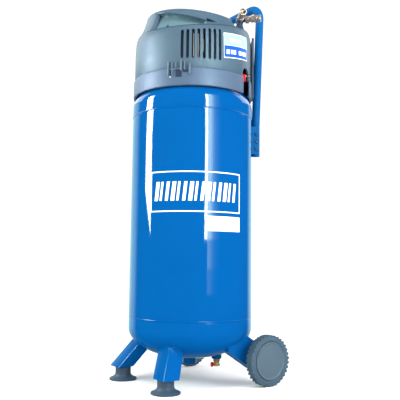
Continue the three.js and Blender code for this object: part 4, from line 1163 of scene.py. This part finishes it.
world = bpy.data.worlds.new("studio")
bpy.context.scene.world = world
world.use_nodes = True
tree = world.node_tree
tree.nodes.clear()
sky = add_node(tree, "ShaderNodeTexCoord").outputs["Generated"]
behind = add_node(tree, "ShaderNodeVectorMath", {0: sky, 1: Matrix.Rotation(math.radians(8), 3, "Z") @ FORWARD},
                  operation="DOT_PRODUCT")
height = add_node(tree, "ShaderNodeSeparateXYZ", {0: sky})
# Mirror reflections see a world that is bright behind the object and dim in front of it and low down, so that
# only its edges pick up the pale surroundings.
bright = map_range(tree, behind.outputs["Value"], 0.55, 0.72, 0.04, 1.35)
level = map_range(tree, height.outputs["Z"], -0.45, -0.05, 0.12, 1.0)
both = add_node(tree, "ShaderNodeMath", {0: bright, 1: level}, operation="MULTIPLY")
mirror = add_node(tree, "ShaderNodeBackground", {
    "Color": (0.70, 1.06, 0.95, 1), "Strength": both.outputs["Value"]})
plain = add_node(tree, "ShaderNodeBackground", {"Color": (1.0, 1.0, 1.0, 1), "Strength": 1.12})
ray = add_node(tree, "ShaderNodeLightPath")
choose = add_node(tree, "ShaderNodeMixShader", {
    "Fac": ray.outputs["Is Glossy Ray"], 1: plain.outputs["Background"], 2: mirror.outputs["Background"]})
add_node(tree, "ShaderNodeOutputWorld", {"Surface": choose.outputs["Shader"]})

# Pale floor that runs far behind the object.
bm = bmesh.new()
lathe(bm, [(0, 0), (1.0, 0), (4.0, 0), (30.0, 0)], 64)
mesh = bpy.data.meshes.new("floor")
bm.to_mesh(mesh)
bm.free()
floor = link("floor", mesh)
floor.location.z = -0.0002
mesh.materials.append(surface("floor", (0.95, 0.95, 0.95), 0.9, vary=0.004, specular=0.1))
floor.visible_glossy = False

# ---- camera
PITCH, ROLL = math.radians(5.8742), math.radians(0.63)
camera_data = bpy.data.cameras.new("camera")
camera_data.sensor_width = 36
camera_data.lens = 53.36
camera_data.clip_end = 100
camera = link("camera", camera_data)
look = FORWARD * math.cos(PITCH) + UP * math.sin(PITCH)
up = UP * math.cos(PITCH) - FORWARD * math.sin(PITCH)
right = RIGHT * math.cos(ROLL) + up * math.sin(ROLL)
top = up * math.cos(ROLL) - RIGHT * math.sin(ROLL)
turned = Matrix((right, top, -look)).transposed().to_4x4()
camera.matrix_world = Matrix.Translation(Vector((1.25214, -0.87360 + AXIS_Y, 0.29719))) @ turned
bpy.context.scene.camera = camera

scene = bpy.context.scene
scene.view_settings.view_transform = "Standard"
scene.view_settings.look = "None"
